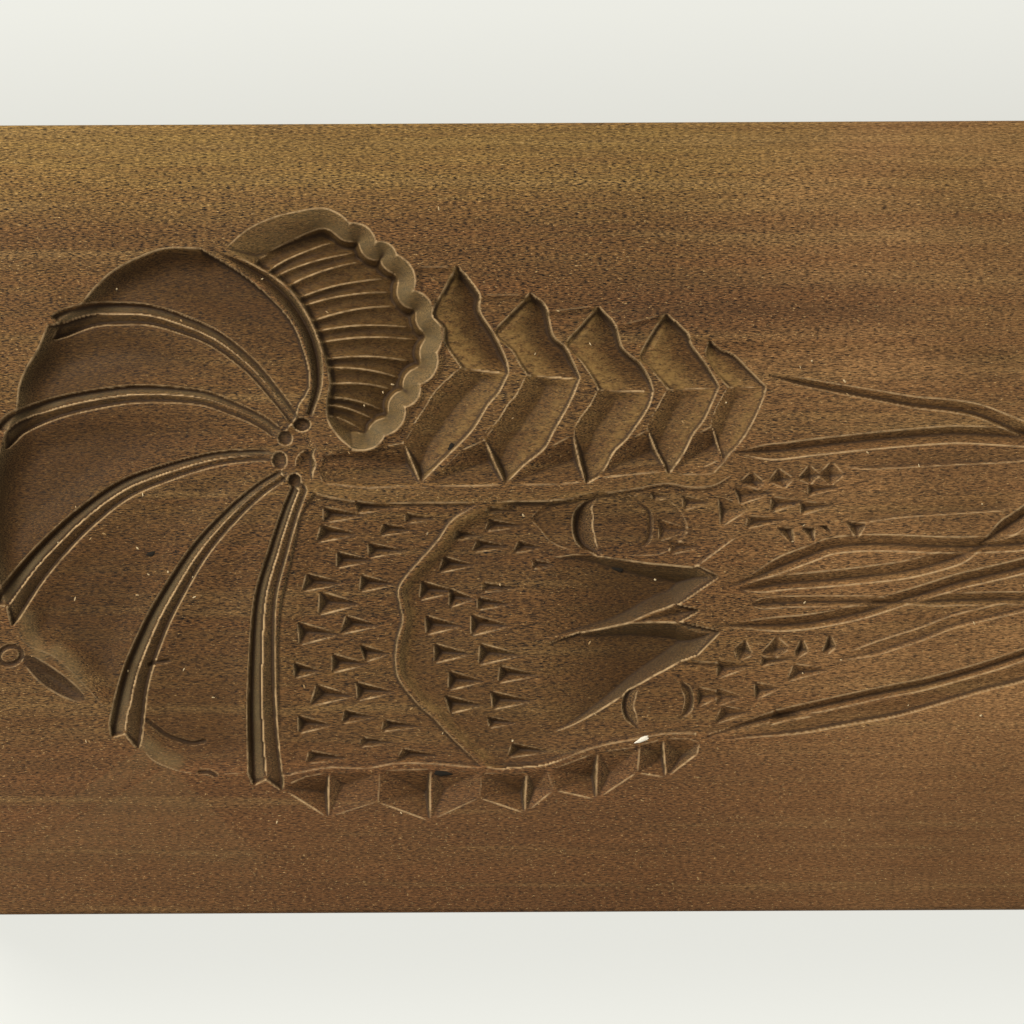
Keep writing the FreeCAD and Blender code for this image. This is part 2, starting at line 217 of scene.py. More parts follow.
for (edge, rim, rib_before, rib_after), (sink, rim_run, soft) in zip(lobes, lobe_forms):
    outline = joined(edge, rib_centres[rib_after])
    if rib_before is not None:
        outline = joined(edge, rib_centres[rib_after], rib_centres[rib_before][::-1])
    win = window(outline, 0.5)
    mask = inside(outline, win)
    from_rim = measure(rim, 80, win)[1]
    from_sides = measure(rib_centres[rib_after], 14, win)[1]
    if rib_before is not None:
        from_sides = np.minimum(from_sides, measure(rib_centres[rib_before], 14, win)[1])
    from_hub = np.hypot(grid_x[win] - hub[0], grid_y[win] - hub[1])
    run = from_rim / (from_rim + from_hub)
    floor = lobe_hub_depth + (lobe_rim_depth * sink - lobe_hub_depth) * (1 - run) ** 1.6
    floor *= 0.7 + 0.3 * ease(from_sides, 2.5, 11)
    wall = 1 - (1 - np.clip(from_rim / rim_run, 0, 1)) ** 2.6
    wall += (ease(from_rim, 0, rim_run) - wall) * soft
    cut_down(win, mask, floor * wall)

for line, (wide, narrow) in zip(rib_centres, rib_widths):
    outwards = (line[0] - line[3]) / np.hypot(*(line[0] - line[3]))
    line = joined([line[0] + rib_overrun * outwards], line)
    win, near, side, along = measure(line, wide)
    half = (wide + (narrow - wide) * along ** 0.8) / 2
    across = near / half
    lowest = np.where(side > 0, 0.7, 0.85)
    cut = np.clip(np.minimum((1 - across) / (1 - lowest), 0.22 + 0.78 * across / lowest), 0, 1)
    strip = ease(across, 0.06, 0.14) * (1 - ease(across, lowest - 0.12, lowest)) * ease(along, 0.03, 0.06)
    # Painted light: a lighter tone on one slope of each rib, the slope that faces the light, and a little on
    # the other.
    mark(dust_and_painted_light, win, strip * np.where(side > 0, 0.6, 0.2))
    run_out = 0.016 + 0.035 * (1 - cut) + 0.016 * np.clip(across * side, -1, 1)
    depth[win] += cut * ease(along, run_out, run_out + 0.012) * np.minimum(half * 0.62, 2.5)


def gouge(line, width, deep, lean=0.0, taper=(1.0, 1.0), hold=0.12):
    """A V cut along a line; lean moves its bottom to the line's left (+) or right (-)."""
    width = np.broadcast_to(width, 2)
    reach = max(width) * 0.5 + 0.5
    win, near, side, along = measure(line, reach)
    half = (width[0] + (width[1] - width[0]) * along) / 2
    share = 1 - (1 - taper[0]) * (1 - ease(along, 0, hold)) - (1 - taper[1]) * ease(along, 1 - hold, 1)
    half = half * np.maximum(share, 0.05)
    offset = near * side / half
    left = (1 - offset) / (1 - lean)
    right = (1 + offset) / (1 + lean)
    cut = np.clip(np.minimum(left, right), 0, 1) * deep * share
    depth[win] += cut


win = window([hub], 9)
from_hub = np.hypot(grid_x[win] - hub[0] + 1.5, grid_y[win] - hub[1])
depth[win] += (hub_depth - depth[win]) * (1 - ease(from_hub, 4.5, 7.5))
hub_dimples = [((-104.5, 25.0), 2.2, 1.7), ((-109.0, 21.5), 1.9, 1.9), ((-110.5, 15.5), 1.9, 2.3),
               ((-106.5, 10.0), 1.7, 1.9)]
for place, half_long, half_tall in hub_dimples:
    win = window([place], 3)
    gap = np.hypot((grid_x[win] - place[0]) / half_long, (grid_y[win] - place[1]) / half_tall)
    cut_down(win, gap < 1, hub_depth + dimple_depth * np.sqrt(np.clip(1 - gap ** 2, 0, 1)))
gouge(bend([(-101.2, 19), (-103.2, 16.4), (-103.4, 13), (-101.6, 9.6)]), 5.4, 2.0, lean=0.5,
      taper=(0.1, 0.1), hold=0.45)

# ---------------------------------------------------------------------------------------------
# THE SHELL
# The deepest cut of all: a fan cut down against a scalloped wall, one gouge stroke a scallop,
# with fluted gouge strokes that fan out over its floor from a bank beside the tail.
# ---------------------------------------------------------------------------------------------
bank_groove = bend([(-129, 72.2), (-118.8, 66.6), (-111.2, 61.2), (-105.6, 54.6), (-101.6, 46), (-100.4, 36),
                    (-102.4, 28)])
gouge(bank_groove, (3.9, 3.7), 3.2, lean=0.2, taper=(0.1, 0.5), hold=0.3)
win, near, side, along = measure(bank_groove, 4)
# Painted shade along the bottom of the bank groove.
painted_shade_and_dark_marks[win] = 0.4 * (1 - ease(near, 0.6, 1.8)) * ease(along, 0.05, 0.3)
scallop_joints = [(-91.5, 78.5), (-84.5, 73.5), (-79, 70), (-74.5, 60.5), (-69.5, 53.5), (-68.5, 44),
                  (-73, 35.5), (-77, 29.5), (-82.5, 22), (-91, 18.5)]
scallop_swell = 0.2
scallops = []
for a, b in zip(scallop_joints, scallop_joints[1:]):
    a, b = np.array(a), np.array(b)
    t = np.linspace(0, 1, 9, endpoint=False)[:, None]
    outward = np.array([a[1] - b[1], b[0] - a[0]])
    scallops.append(a + (b - a) * t + outward * scallop_swell * 4 * t * (1 - t))
shell_crown = bend([(-124.5, 72), (-118.5, 77), (-112, 80), (-106, 81.5), (-99, 82.5), (-94.5, 81),
                    (-91.5, 78.5)])
shell_bank = bend([(-91, 18.5), (-94.5, 21.5), (-97.5, 26), (-97.8, 31), (-97, 36), (-98, 41.5), (-99.8, 47),
                   (-103, 54.5), (-107, 60.5), (-112, 64.5), (-118, 68), (-124.5, 72)])
shell_wall = joined(shell_crown, *scallops, [scallop_joints[-1]])
shell_outline = joined(shell_wall, shell_bank)
ridge_starts = bend([(-117, 67.5), (-113, 65.5), (-109, 62.5), (-105.8, 58.5), (-103, 54), (-100.8, 49.5),
                     (-99, 44.5), (-98, 40), (-98, 35), (-97.5, 31), (-95.5, 26)])
ridge_ends = bend([(-98.5, 75.5), (-90, 71.5), (-84, 66.5), (-79, 60.5), (-75, 55.5), (-72.5, 50),
                   (-72, 44.5), (-73.5, 38.5), (-77.5, 32), (-82, 26), (-89, 21.5)])
ridge_count = 15
shell_floor_depth = 10.5
shell_bank_depth = 1.8
band_drop = 4.2
flute_depth = 1.3
win = window(shell_outline, 0.5)
mask = inside(shell_outline, win)
x, y = grid_x[win], grid_y[win]
from_wall = measure(shell_wall, 14, win)[1]
from_bank = measure(shell_bank, 60, win)[1]
run = np.clip(from_bank / (from_bank + measure(shell_wall, 60, win)[1]), 0, 1)


def share_places(line, count):
    """Places along a line, spaced a little unevenly, as a hand spaces them."""
    runs = np.concatenate([[0], np.cumsum(np.hypot(*np.diff(line, axis=0).T))])
    at = np.linspace(0, runs[-1], count)
    at += 0.22 * runs[-1] / count * np.sin(2.4 * np.arange(count) + runs[-1])
    return np.stack([np.interp(at, runs, line[:, 0]), np.interp(at, runs, line[:, 1])], 1)


starts = share_places(ridge_starts, ridge_count)
ends = share_places(ridge_ends, ridge_count)
offs = []
for a, b in zip(starts, ends):
    dx, dy = (b - a) / np.hypot(*(b - a))
    bow = 1.6 * np.sin(np.pi * np.clip(run, 0, 1))
    offs.append(dx * (y - a[1]) - dy * (x - a[0]) - bow)
scoop = np.zeros(x.shape)
for above, below in zip(offs, offs[1:]):
    between = (above <= 0) & (below >= 0)
    across = np.clip(below / np.maximum(below - above, 1e-6), 0, 1)
    scoop = np.where(between, 1 - np.abs(2 * across - 1) ** 1.7, scoop)
wall_near = np.full(x.shape, 14.0)
wall_flute = np.zeros(x.shape)
for stretch in scallops:
    near, side, along = measure(stretch, 14, win)[1:]
    wall_flute = np.where(near < wall_near, np.sin(np.pi * along), wall_flute)
    wall_near = np.minimum(wall_near, near)
band = 4.6 + 3.4 * (1 - ease(x, -116, -94)) * ease(y, 60, 72)
wall = np.where(from_wall < band, from_wall * band_drop / band, band_drop + (from_wall - band) * 3.2)
wall *= 0.87 + 0.2 * wall_flute
# A dusting and a painted lighter tone on the shell's wall band, strongest on its right part, which faces the
# light.
band_dust_and_painted_light = (0.4 + 0.4 * ease(x, -112, -94)) * (1 - ease(from_wall, band - 0.3, band + 0.3))
dust_and_painted_light[win] = np.where(mask, band_dust_and_painted_light, dust_and_painted_light[win])
floor = shell_bank_depth + (shell_floor_depth - shell_bank_depth) * run ** 1.5
floor += flute_depth * scoop * (1 - 0.55 * ease(run, 0.35, 0.95))
bank = from_bank * (1.2 + 2.4 * scoop)
level = np.minimum(np.minimum(wall, floor), bank)
cut_down(win, mask, level)
mark(rubbing_and_painted_light, win, 0.28 * mask)

# ---------------------------------------------------------------------------------------------
# THE TAIL SEGMENTS
# Five chevron pockets in a shallow bed, each in two halves that meet on a cross ridge. The
# upper half falls away to the right; the lower half is a slanting valley, gentle on its left
# and steep on its right, with a dark gusset cut beside each foot.
# ---------------------------------------------------------------------------------------------
bed_outline = [(-75, 60), (-74.5, 67), (-63, 67), (-57, 59.5), (-44.5, 59.5), (-39, 55), (-25.5, 56.5),
               (-21, 51), (-8.5, 54), (-2, 49), (4, 47), (12, 44), (22, 35), (24, 30), (20, 22), (12, 17),
               (5, 11), (-3.5, 11), (-7.5, 12.5), (-25, 10), (-36, 8.2), (-53, 8.2), (-70.5, 8),
               (-87, 7.6), (-99, 9), (-100.5, 13), (-99, 17), (-91, 19)]
wall_beside_bed = shell_wall[-70:]
bed_outline = joined(bed_outline, wall_beside_bed[::-1])
win = window(bed_outline, 1)
mask = inside(bed_outline, win)
from_edge = measure(joined(bed_outline, bed_outline[:1]), 3, win)[1]
bed_depth = 0.8
cut_down(win, mask, bed_depth * ease(from_edge, 0.0, 2.0))

upper_halves = [
    ([(-63, 67), (-65.5, 62.5), (-69.5, 54.5), (-66.5, 50.5), (-66, 46), (-62, 40)],
     [(-63, 67), (-60, 63.5), (-57, 59), (-57, 55), (-53, 48.5), (-50, 42), (-49.5, 38.5)]),
    ([(-43.5, 59.5), (-49, 54), (-53, 49), (-48.5, 44.5), (-46.5, 41), (-44.5, 38)],
     [(-43.5, 59.5), (-39.5, 56), (-37.5, 48.5), (-34, 45), (-31, 38.5), (-30.5, 37)]),
    ([(-25.5, 56), (-29.5, 51.5), (-34, 46), (-30, 41.5), (-27, 37), (-25.5, 34)],
     [(-25.5, 56), (-21, 51), (-19, 45), (-14.5, 41), (-12, 37), (-11, 33.5)]),
    ([(-7.5, 54), (-10.5, 50), (-14.5, 42.5), (-12, 40), (-9.5, 37), (-7, 34)],
     [(-7.5, 54), (-2, 49), (-0.5, 45.5), (2.5, 41.5), (5, 37.5), (6.5, 34.5)]),
    ([(4, 47), (3, 43.5), (4, 41), (6, 38), (9, 34.5)],
     [(4, 47), (7, 44.5), (10.5, 43), (15, 38.5), (19, 34.5)])]
lower_halves = [
    ([(-62, 40), (-68.5, 34), (-71.5, 29.5), (-73.5, 26.5), (-77.5, 20), (-74, 12), (-73, 9.5)],
     [(-49.5, 38.5), (-52, 33.5), (-55, 30), (-59.5, 23), (-67.5, 15), (-73, 9.5)]),
    ([(-44.5, 38), (-47, 33), (-49.5, 30), (-52, 26), (-56, 21), (-52.5, 13.5), (-50.5, 9)],
     [(-30.5, 37), (-33, 31), (-37.5, 23), (-40, 18.5), (-45.5, 14), (-50.5, 9)]),
    ([(-25.5, 34), (-27.5, 30), (-30.5, 26), (-32, 22), (-30.5, 14), (-29, 9)],
     [(-11, 33.5), (-12.5, 29), (-18, 21), (-21.5, 17.5), (-24.5, 12), (-29, 9)]),
    ([(-7, 34), (-9.5, 29.5), (-12.5, 23.5), (-10.3, 17), (-7, 11.5)],
     [(6.5, 34.5), (2.5, 26), (-0.5, 22), (-3, 17), (-7, 11.5)]),
    ([(9, 34.5), (6, 29), (4.5, 24.5), (6, 18), (7.5, 15)],
     [(19, 34.5), (18, 31), (15.5, 25.5), (12.5, 20.5), (7.5, 15)])]
gussets = [([(-77.2, 20), (-73, 9), (-87, 8.2), (-98, 9.5), (-98.5, 16.5), (-91, 17.8)], (-76.6, 14.5)),
           ([(-56, 20.6), (-51, 9), (-60, 8.6), (-71.5, 9), (-62, 18)], (-54.6, 15.2)),
           ([(-32.6, 21.8), (-29.4, 9.4), (-40, 8.9), (-49.5, 9), (-40, 18)], (-32, 15.5)),
           ([(-12.6, 23), (-7.3, 12), (-16, 11.3), (-27.5, 10.6), (-19, 20)], (-11.4, 17.5)),
           ([(4.6, 24), (7.6, 15.5), (2, 13), (-5.5, 12.5), (-0.5, 21.5)], (5.4, 19.4))]
gusset_depth = 2.8

def facet_pit(corners, lowest, deep):
    """A small pit of flat facets that meet at one lowest point."""
    corners = np.array(corners, float)
    win = window(corners, 0.5)
    x, y = grid_x[win], grid_y[win]
    turn = np.sign(np.cross(corners[1] - corners[0], corners[2] - corners[1]))
    level = np.full(x.shape, np.inf)
    for a, b in zip(corners, np.roll(corners, -1, axis=0)):
        across = turn * np.array([a[1] - b[1], b[0] - a[0]])
        reach = (lowest[0] - a[0]) * across[0] + (lowest[1] - a[1]) * across[1]
        level = np.minimum(level, ((x - a[0]) * across[0] + (y - a[1]) * across[1]) / reach)
    depth[win] += np.clip(level, 0, 1) * deep


for corners, lowest in gussets:
    facet_pit(corners, lowest, gusset_depth)

segment_depth = 3.7
segment_shallowing = 0.12
crest_depth = 0.9
gentle_slope = 0.34
foot_slope = 2.2
right_slope = 1.5
valley_sharpness = 1.6
valley_lift = 0.43
for halves, lower in ((upper_halves, False), (lower_halves, True)):
    for number, (left_places, right_places) in enumerate(halves):
        left, right = bend(left_places), bend(right_places)
        crest = [left[0], right[0]] if lower else [left[-1], right[-1]]
        outline = joined(left, right[::-1])
        win = window(outline, 0.6)
        mask = inside(outline, win)
        from_left = measure(left, 25, win)[1]
        from_right = measure(right, 25, win)[1]
        from_crest = measure(crest, 40, win)[1]
        across = from_left / (from_left + from_right)
        sink = segment_depth * (1 - segment_shallowing * number)
        if lower:
            fall = 0.85 - 0.55 * ease(across, 0.2, 1.05)
            floor = crest_depth + (sink * fall - crest_depth) * ease(from_crest, 0, 3)
            gentle_wall = gentle_slope * measure(bend(left_places[:-2]), 25, win)[1]
            foot_wall = foot_slope * measure(left_places[-3:], 25, win)[1]
            right_wall = right_slope * from_right
            valley = np.exp(-valley_sharpness * gentle_wall) + np.exp(-valley_sharpness * right_wall)
            valley = -np.log(valley) / valley_sharpness + valley_lift
            near_edges = 1.2 * np.minimum(gentle_wall, right_wall) + 0.1
            walls = np.minimum(np.minimum(valley, foot_wall), near_edges)
            pale = np.maximum(0.7 * ease(across, 0.55, 0.85) * (1 - ease(across, 0.93, 1)), 0.2)
        else:
            fall = 0.16 + 0.84 * ease(across, -0.1, 0.9)
            floor = crest_depth + (sink * fall - crest_depth) * ease(from_crest, -1, 5)
            walls = np.minimum(from_left * 1.6, from_right * 3.2)
            pale = (1.1 - 1.1 * ease(across, 0.15, 0.75)) * (1 - 0.5 * ease(from_crest, 8, 19))
        cut_down(win, mask, bed_depth + np.minimum(floor, walls))
        # The golden tone on each half is partly rubbing and partly painted light on the faces turned to the
        # light.
        mark(rubbing_and_painted_light, win, pale * mask)

upper_bevels = [[(-63.3, 65.5), (-64.8, 62), (-66.5, 58)], [(-43.9, 58), (-47.6, 53.7), (-51.6, 49.3)],
                [(-26, 54.6), (-29.2, 50.5), (-33, 46)], [(-8, 52.4), (-10.3, 48.4), (-13.4, 43)]]
for line in upper_bevels:
    gouge(bend(line), 2.2, 0.5, lean=-0.2, taper=(0.3, 0.3), hold=0.3)
    # Pale strips along the bevels: rubbing with painted light on these walls.
    win, near = measure(bend(line), 3)[:2]
    mark(rubbing_and_painted_light, win, 0.9 * (1 - ease(near, 0.8, 1.7)))
gouge(bend([(14, 16), (20, 19), (23, 25), (23.5, 31)]), 1.8, 0.5, lean=0.2)

# ---------------------------------------------------------------------------------------------
# THE HEAD SHIELD
# A shallow bed under the dividing ridge, crossed by one curved ridge and roughened all over
# with pushes of a corner chisel, then two eyes, two horns and a row of spines below.
# ---------------------------------------------------------------------------------------------
divider_underside = bend([(-101.5, 7.3), (-98, 6), (-87, 4.3), (-70.5, 4.2), (-53, 4.2), (-36, 4.4),
                          (-25.5, 6.2), (-15, 7.8), (-7.5, 9), (-1, 8), (5, 8.6), (11, 12.6)])
win, near, side, along = measure(divider_underside, 6)
mark(rubbing_and_painted_light, win, 0.5 - 0.5 * ease(np.abs(near * side - 1.6), 0.4, 2.2))
shield_base = bend([(2, -57.8), (-8, -57.8), (-16.5, -59.2), (-26.5, -61.2), (-39.5, -65.4), (-46.5, -66.2),
                    (-57, -66.6), (-71, -65.4), (-80, -65.4), (-88, -66.6), (-98, -66.4), (-107.5, -68)])
shield_left = bend([(-111.5, -68), (-111.8, -38), (-111, -24), (-108, -11), (-105.5, 0.5), (-101.5, 7.3)])
lip = bend([(42, -1), (28, -3.4), (21.5, -4.6), (15, -5.6), (11, -6.3), (7, -8.7), (0.5, -13.2)])
lower_lip = bend([(-3.5, -38), (5, -38.6), (16, -38.6), (30, -39), (40, -40.5)])
horn_mouths = [(6, -16), (-5, -23.4), (1, -24.8), (-4.5, -28), (6.5, -30.5), (0.5, -36.5)]
shield_right = joined([(14, 13.5), (30, 14), (42, 12), (47, 4)], lip, horn_mouths, lower_lip,
                      [(47, -44), (44, -48), (22, -53.4), (10, -56)])
shield_outline = joined(divider_underside, shield_right, shield_base, shield_left)
shield_depth = 1.3
win = window(shield_outline, 1)
mask = inside(shield_outline, win)
from_edge = np.full(mask.shape, 9.0)
for edge in (divider_underside, shield_base, shield_left, lip, lower_lip):
    from_edge = np.minimum(from_edge, measure(edge, 9, win)[1])
bed = shield_depth * (0.6 * ease(from_edge, 0, 1.0) + 0.4 * ease(from_edge, 0.5, 8))
bed *= 1 - ease(grid_x[win], 0, 40)
ridge = bend([(-52, 4.8), (-55.5, 4), (-64, -0.5), (-68.5, -6.5), (-78, -17.5), (-78.2, -23), (-77.5, -27),
              (-79, -32.5), (-79.5, -38), (-78.5, -43), (-73.5, -49.5), (-69.5, -53), (-64.5, -58.5),
              (-55.5, -67)])
ridge_near, ridge_side = measure(ridge, 9, win)[1:3]
ridge_width = np.where(ridge_side > 0, 2.4 + 2.4 * ease(grid_y[win], -22, -4), 0.9)
bed = bed * (0.25 + 0.75 * ease(ridge_near, 0.25, ridge_width))
right_near, right_side = measure(ridge, 26, win)[1:3]
bed += np.where((right_side > 0) & (right_near < 26),
                0.9 * ease(right_near, 0.5, 5) * (1 - ease(right_near, 8, 26)), 0)
ridge_flank = 0.5 * ease(right_near, 0.2, 0.8) * (1 - ease(right_near, 1.8, 4)) * (right_side > 0) * mask
mark(rubbing_and_painted_light, win, ridge_flank)
cut_down(win, mask, bed)

chips = [
    (-99, 1, 12, 4.5, 0), (-90.5, 3, 12, 3.5, -0.5), (-77, 0, 9, 3, 0.3), (-99.5, -4, 10.5, 5, 1.5),
    (-83, -3, 9.5, 3.5, 1.3), (-87, -8.5, 11, 4.2, 0), (-95.5, -11, 10.5, 4.6, 0), (-103.5, -17, 11, 5, 1.3),
    (-89, -17.3, 9.8, 4.8, 0.4), (-100, -22.5, 11.5, 6.6, 0.4), (-93, -28.3, 9.5, 5.2, 1.8),
    (-106, -30.5, 11.8, 6.4, -0.6), (-89.5, -35.8, 8.5, 4.8, -1.6), (-96.8, -38.5, 10.3, 5.2, 0),
    (-107, -40.3, 7.8, 4.4, -0.2), (-101, -47, 10.5, 6, 1.8), (-90.5, -46, 11, 5.2, -0.5),
    (-106, -54.7, 9.7, 5, -0.3), (-93.5, -52.7, 8.5, 3.8, 0.8), (-83, -55.2, 10.8, 3.2, 0.8),
    (-89, -59.5, 10.3, 2.7, 0.8), (-103, -63.5, 11.5, 3.6, 1), (-78, -63, 10.5, 3.6, 2),
    (-55.4, 2, 9, 2.2, 0.3), (-55, -2, 10.5, 3.4, 1), (-63.5, -4.6, 7.5, 3, 1), (-58, -7.5, 9.5, 3.6, 1.6),
    (-47, -7.8, 7, 3.4, 1.6), (-67, -12.4, 8.7, 4.6, 1.5), (-73, -19.3, 10, 5.4, 0.6),
    (-65.5, -21.3, 7.2, 5.2, 0), (-56.7, -18.5, 11, 2.8, 0.2), (-58, -22.8, 9.8, 3.6, 0),
    (-72, -28.5, 10.3, 5.4, -0.3), (-59.8, -28.5, 11, 6, 0), (-69.6, -36, 10.5, 5.4, 0),
    (-57.5, -36.3, 11.8, 6, 0.3), (-65.7, -43.3, 9.8, 5.4, 0.3), (-52.2, -41.7, 11, 4.8, 0.5),
    (-67, -49.6, 11, 5, -1.6), (-54.6, -48.6, 12, 5, -0.5), (-55.7, -54.4, 9.2, 3.2, -0.7),
    (-49, -62, 11, 4, 1.3), (-43, -12.5, 8, 2.6, 0.6)]
chip_depth = 2.4


def chip(form, tip, lowest, deep):
    """One push of a corner chisel: a three-sided pit that runs out to a tip."""
    x0, y0, long, tall, slant = form
    facet_pit([(x0, y0 + tall / 2), (x0 - slant, y0 - tall / 2), (x0 + long, y0 + tip)],
              (x0 + lowest[0] * long, y0 + lowest[1] * tall), deep)


for form in chips:
    chip(form, -0.3, (0.19, 0.04), chip_depth * min(1, form[3] / 4.5))

eye_bed = bend([(-43.5, 0), (-38.5, 4), (-25.5, 7), (-19, 6), (-12, 5.5), (-5, 3), (-2, -4), (-8, -9.5),
                (-15, -10.3), (-24.5, -10), (-33, -8.8), (-38.5, -6.5), (-41.5, -3)], closed=True)
win = window(eye_bed, 0.5)
mask = inside(eye_bed, win)
from_edge = measure(joined(eye_bed, eye_bed[:1]), 8, win)[1]
depth[win] += np.where(mask, 0.5 * ease(from_edge, 0, 1.2) + 0.5 * ease(from_edge, 1, 7), 0)
gouge(bend([(-26.5, 4.7), (-29, 2.5), (-30, -2), (-29, -6), (-25.5, -10)]), 5.4, 2.4, lean=-0.55,
      taper=(0.2, 0.2), hold=0.35)
gouge(bend([(-15.5, 4.5), (-12.5, 1.5), (-12, -2), (-12.5, -6), (-15.5, -9)]), 1.5, 0.6, lean=0.3,
      taper=(0.2, 0.2), hold=0.3)
gouge(bend([(-18.5, 5.8), (-14, 2.5), (-17, 6)]), 1.0, 0.2)
gouge(bend([(-15, -45), (-17.5, -47.5), (-18, -51.5), (-15.5, -56)]), 3.2, 1.4, lean=-0.5, taper=(0.2, 0.3),
      hold=0.3)
gouge(bend([(-4.5, -43.5), (-2, -47), (-2, -50.5), (-4, -53.5)]), 2.4, 1.1, lean=0.5, taper=(0.2, 0.3),
      hold=0.3)

upper_horn_top = bend([(-46, -9.5), (-38.5, -10.6), (-30.5, -9.9), (-21.5, -11), (-11, -12.5), (0.5, -13)])
upper_horn_foot = bend([(-5, -23.3), (-12, -25.6), (-17.5, -28), (-24.5, -29.8), (-38.5, -31.8),
                        (-46, -32.5)])
upper_horn_tip = [(6, -16)]
upper_horn = joined(upper_horn_top, upper_horn_tip, upper_horn_foot)
lower_horn_top = bend([(-30, -30.5), (-17.5, -28.3), (-5, -28)])
lower_horn_tip = [(0.5, -29.5), (6.5, -30.5), (0.5, -36.5), (-3.5, -38)]
lower_horn_foot = bend([(-3.5, -38), (-15, -44.5), (-21, -48.5), (-28.5, -53), (-36, -56.5), (-46, -59)])
lower_horn = joined(lower_horn_top, lower_horn_tip, lower_horn_foot, [(-46, -36)])
horn_depth = 6.0
horns = [
    (upper_horn, joined(upper_horn_top, upper_horn_tip), joined(upper_horn_tip, upper_horn_foot)),
    (lower_horn, joined(lower_horn_top, lower_horn_tip[:2]), joined(lower_horn_tip[1:], lower_horn_foot))]
for outline, top, foot in horns:
    win = window(outline, 0.5)
    mask = inside(outline, win)
    from_top = measure(top, 14, win)[1]
    from_foot = measure(foot, 14, win)[1]
    x = grid_x[win]
    brim = shield_depth * (1 - ease(x, -9, 2))
    floor = 1.0 + (horn_depth - 1.0) * ease(x, -48, -2)
    walls = brim + np.minimum(from_top * 1.1, from_foot * 1.15)
    cut_down(win, mask, np.minimum(floor, walls))
    # A dusting and painted light on the horn walls; painted shade on them as well, heaviest on the foot
    # wall, and painted shade along the foot of the walls.
    on_wall = ease(floor - walls, -0.3, 0.2) * ease(x, -40, -20)
    dust_and_painted_light[win] = np.where(mask, 0.3 * on_wall, dust_and_painted_light[win])
    wall_foot = (1 - ease(np.abs(floor - walls), 0.1, 0.8)) * ease(x, -42, -25)
    on_wall = np.where(from_foot < from_top, 0.45, 0.1) * on_wall
    painted_shade_and_dark_marks[win] = np.where(mask, np.maximum(on_wall, 0.6 * wall_foot), painted_shade_and_dark_marks[win])
facet_pit([(-5, -23.7), (1.5, -24.7), (-4.5, -28), (-17, -28)], (-4.3, -25.8), 1.3)

chips_by_eye = [(-3.5, 3.8, 8.5, 4, -0.5), (-12, 5.5, 6, 3, -1), (-10, -3.5, 9.5, 6, -0.5),
                (-7, -8, 10, 4, -0.3), (5.4, -48, 8, 5, 0)]
for form in chips_by_eye:
    chip(form, 0, (0.2, 0), 1.2)

spines = [
    ([(-110.5, -71.5), (-98, -79.5), (-97.8, -67.5), (-104, -68.6)], (-98.6, -73), 2.4),
    ([(-97.8, -79.3), (-84.8, -75.3), (-84.5, -67.5), (-97.3, -67.5)], (-94, -71), 1.3),
    ([(-84.5, -75.5), (-71, -80.5), (-70.8, -66.8), (-84, -67)], (-71.8, -73), 2.4),
    ([(-70.6, -80.3), (-58, -74.5), (-57.5, -67.6), (-70.3, -66.8)], (-67, -72), 1.3),
    ([(-57.5, -74.5), (-45.8, -78.5), (-45.3, -68), (-57, -68)], (-46.5, -73), 2.2),
    ([(-45.4, -78.3), (-38, -72.5), (-39.8, -67), (-45, -67.6)], (-43, -72), 1.3),
    ([(-37.5, -72.5), (-26.8, -75), (-26.4, -62.5), (-38.5, -67)], (-27.6, -69), 2.2),
    ([(-26.4, -74.8), (-16, -68), (-15, -61), (-26, -62.5)], (-23, -68), 1.3),
    ([(-15.5, -68), (-8.2, -69.2), (-9, -59.2), (-15, -60.5)], (-9, -64), 2.0),
    ([(-8, -69.2), (0.2, -63), (0.8, -60), (-2, -59), (-8.6, -59)], (-3.5, -63.5), 1.8)]
for corners, lowest, deep in spines:
    facet_pit(corners, lowest, 1.4 * deep)

# ---------------------------------------------------------------------------------------------
# THE ANTENNAE AND LEGS
# A broad bed, hardly below the face, with the feelers swept back over it as long V cuts: a
# wide upper side, a narrow lower side, and a crisp lower lip. Where two cross, one is cut over.
# ---------------------------------------------------------------------------------------------
bed_upper_edge = bend([(-2, 48.8), (10, 47.6), (38, 47), (64, 46.4), (87.5, 43.6), (112, 40), (140, 36),
                       (168, 36), (184, 42)])
bed_lower_edge = bend([(190, 40), (187, 22), (176, 2), (160, -14), (138, -26), (112, -37), (87.5, -44.8),
                       (76.5, -47.5), (68, -49.7), (53, -54), (41.5, -55.2), (28, -57.8), (12, -59.5),
                       (0, -59.4)])
feeler_bed = joined(bed_upper_edge, bed_lower_edge,
                    [(0, -38), (0, -16), (-3, 6), (-3, 14), (0, 30), (-4, 46)])
feeler_bed_depth = 0.8
win = window(feeler_bed, 1)
mask = inside(feeler_bed, win)
from_edge = np.minimum(measure(bed_upper_edge, 4, win)[1], measure(bed_lower_edge, 4, win)[1])
bed = feeler_bed_depth * ease(from_edge, 0, 3.8)
bed *= np.maximum(ease(grid_x[win], 1, 16), ease(np.abs(grid_y[win] + 5), 35, 48))
cut_down(win, mask, bed)

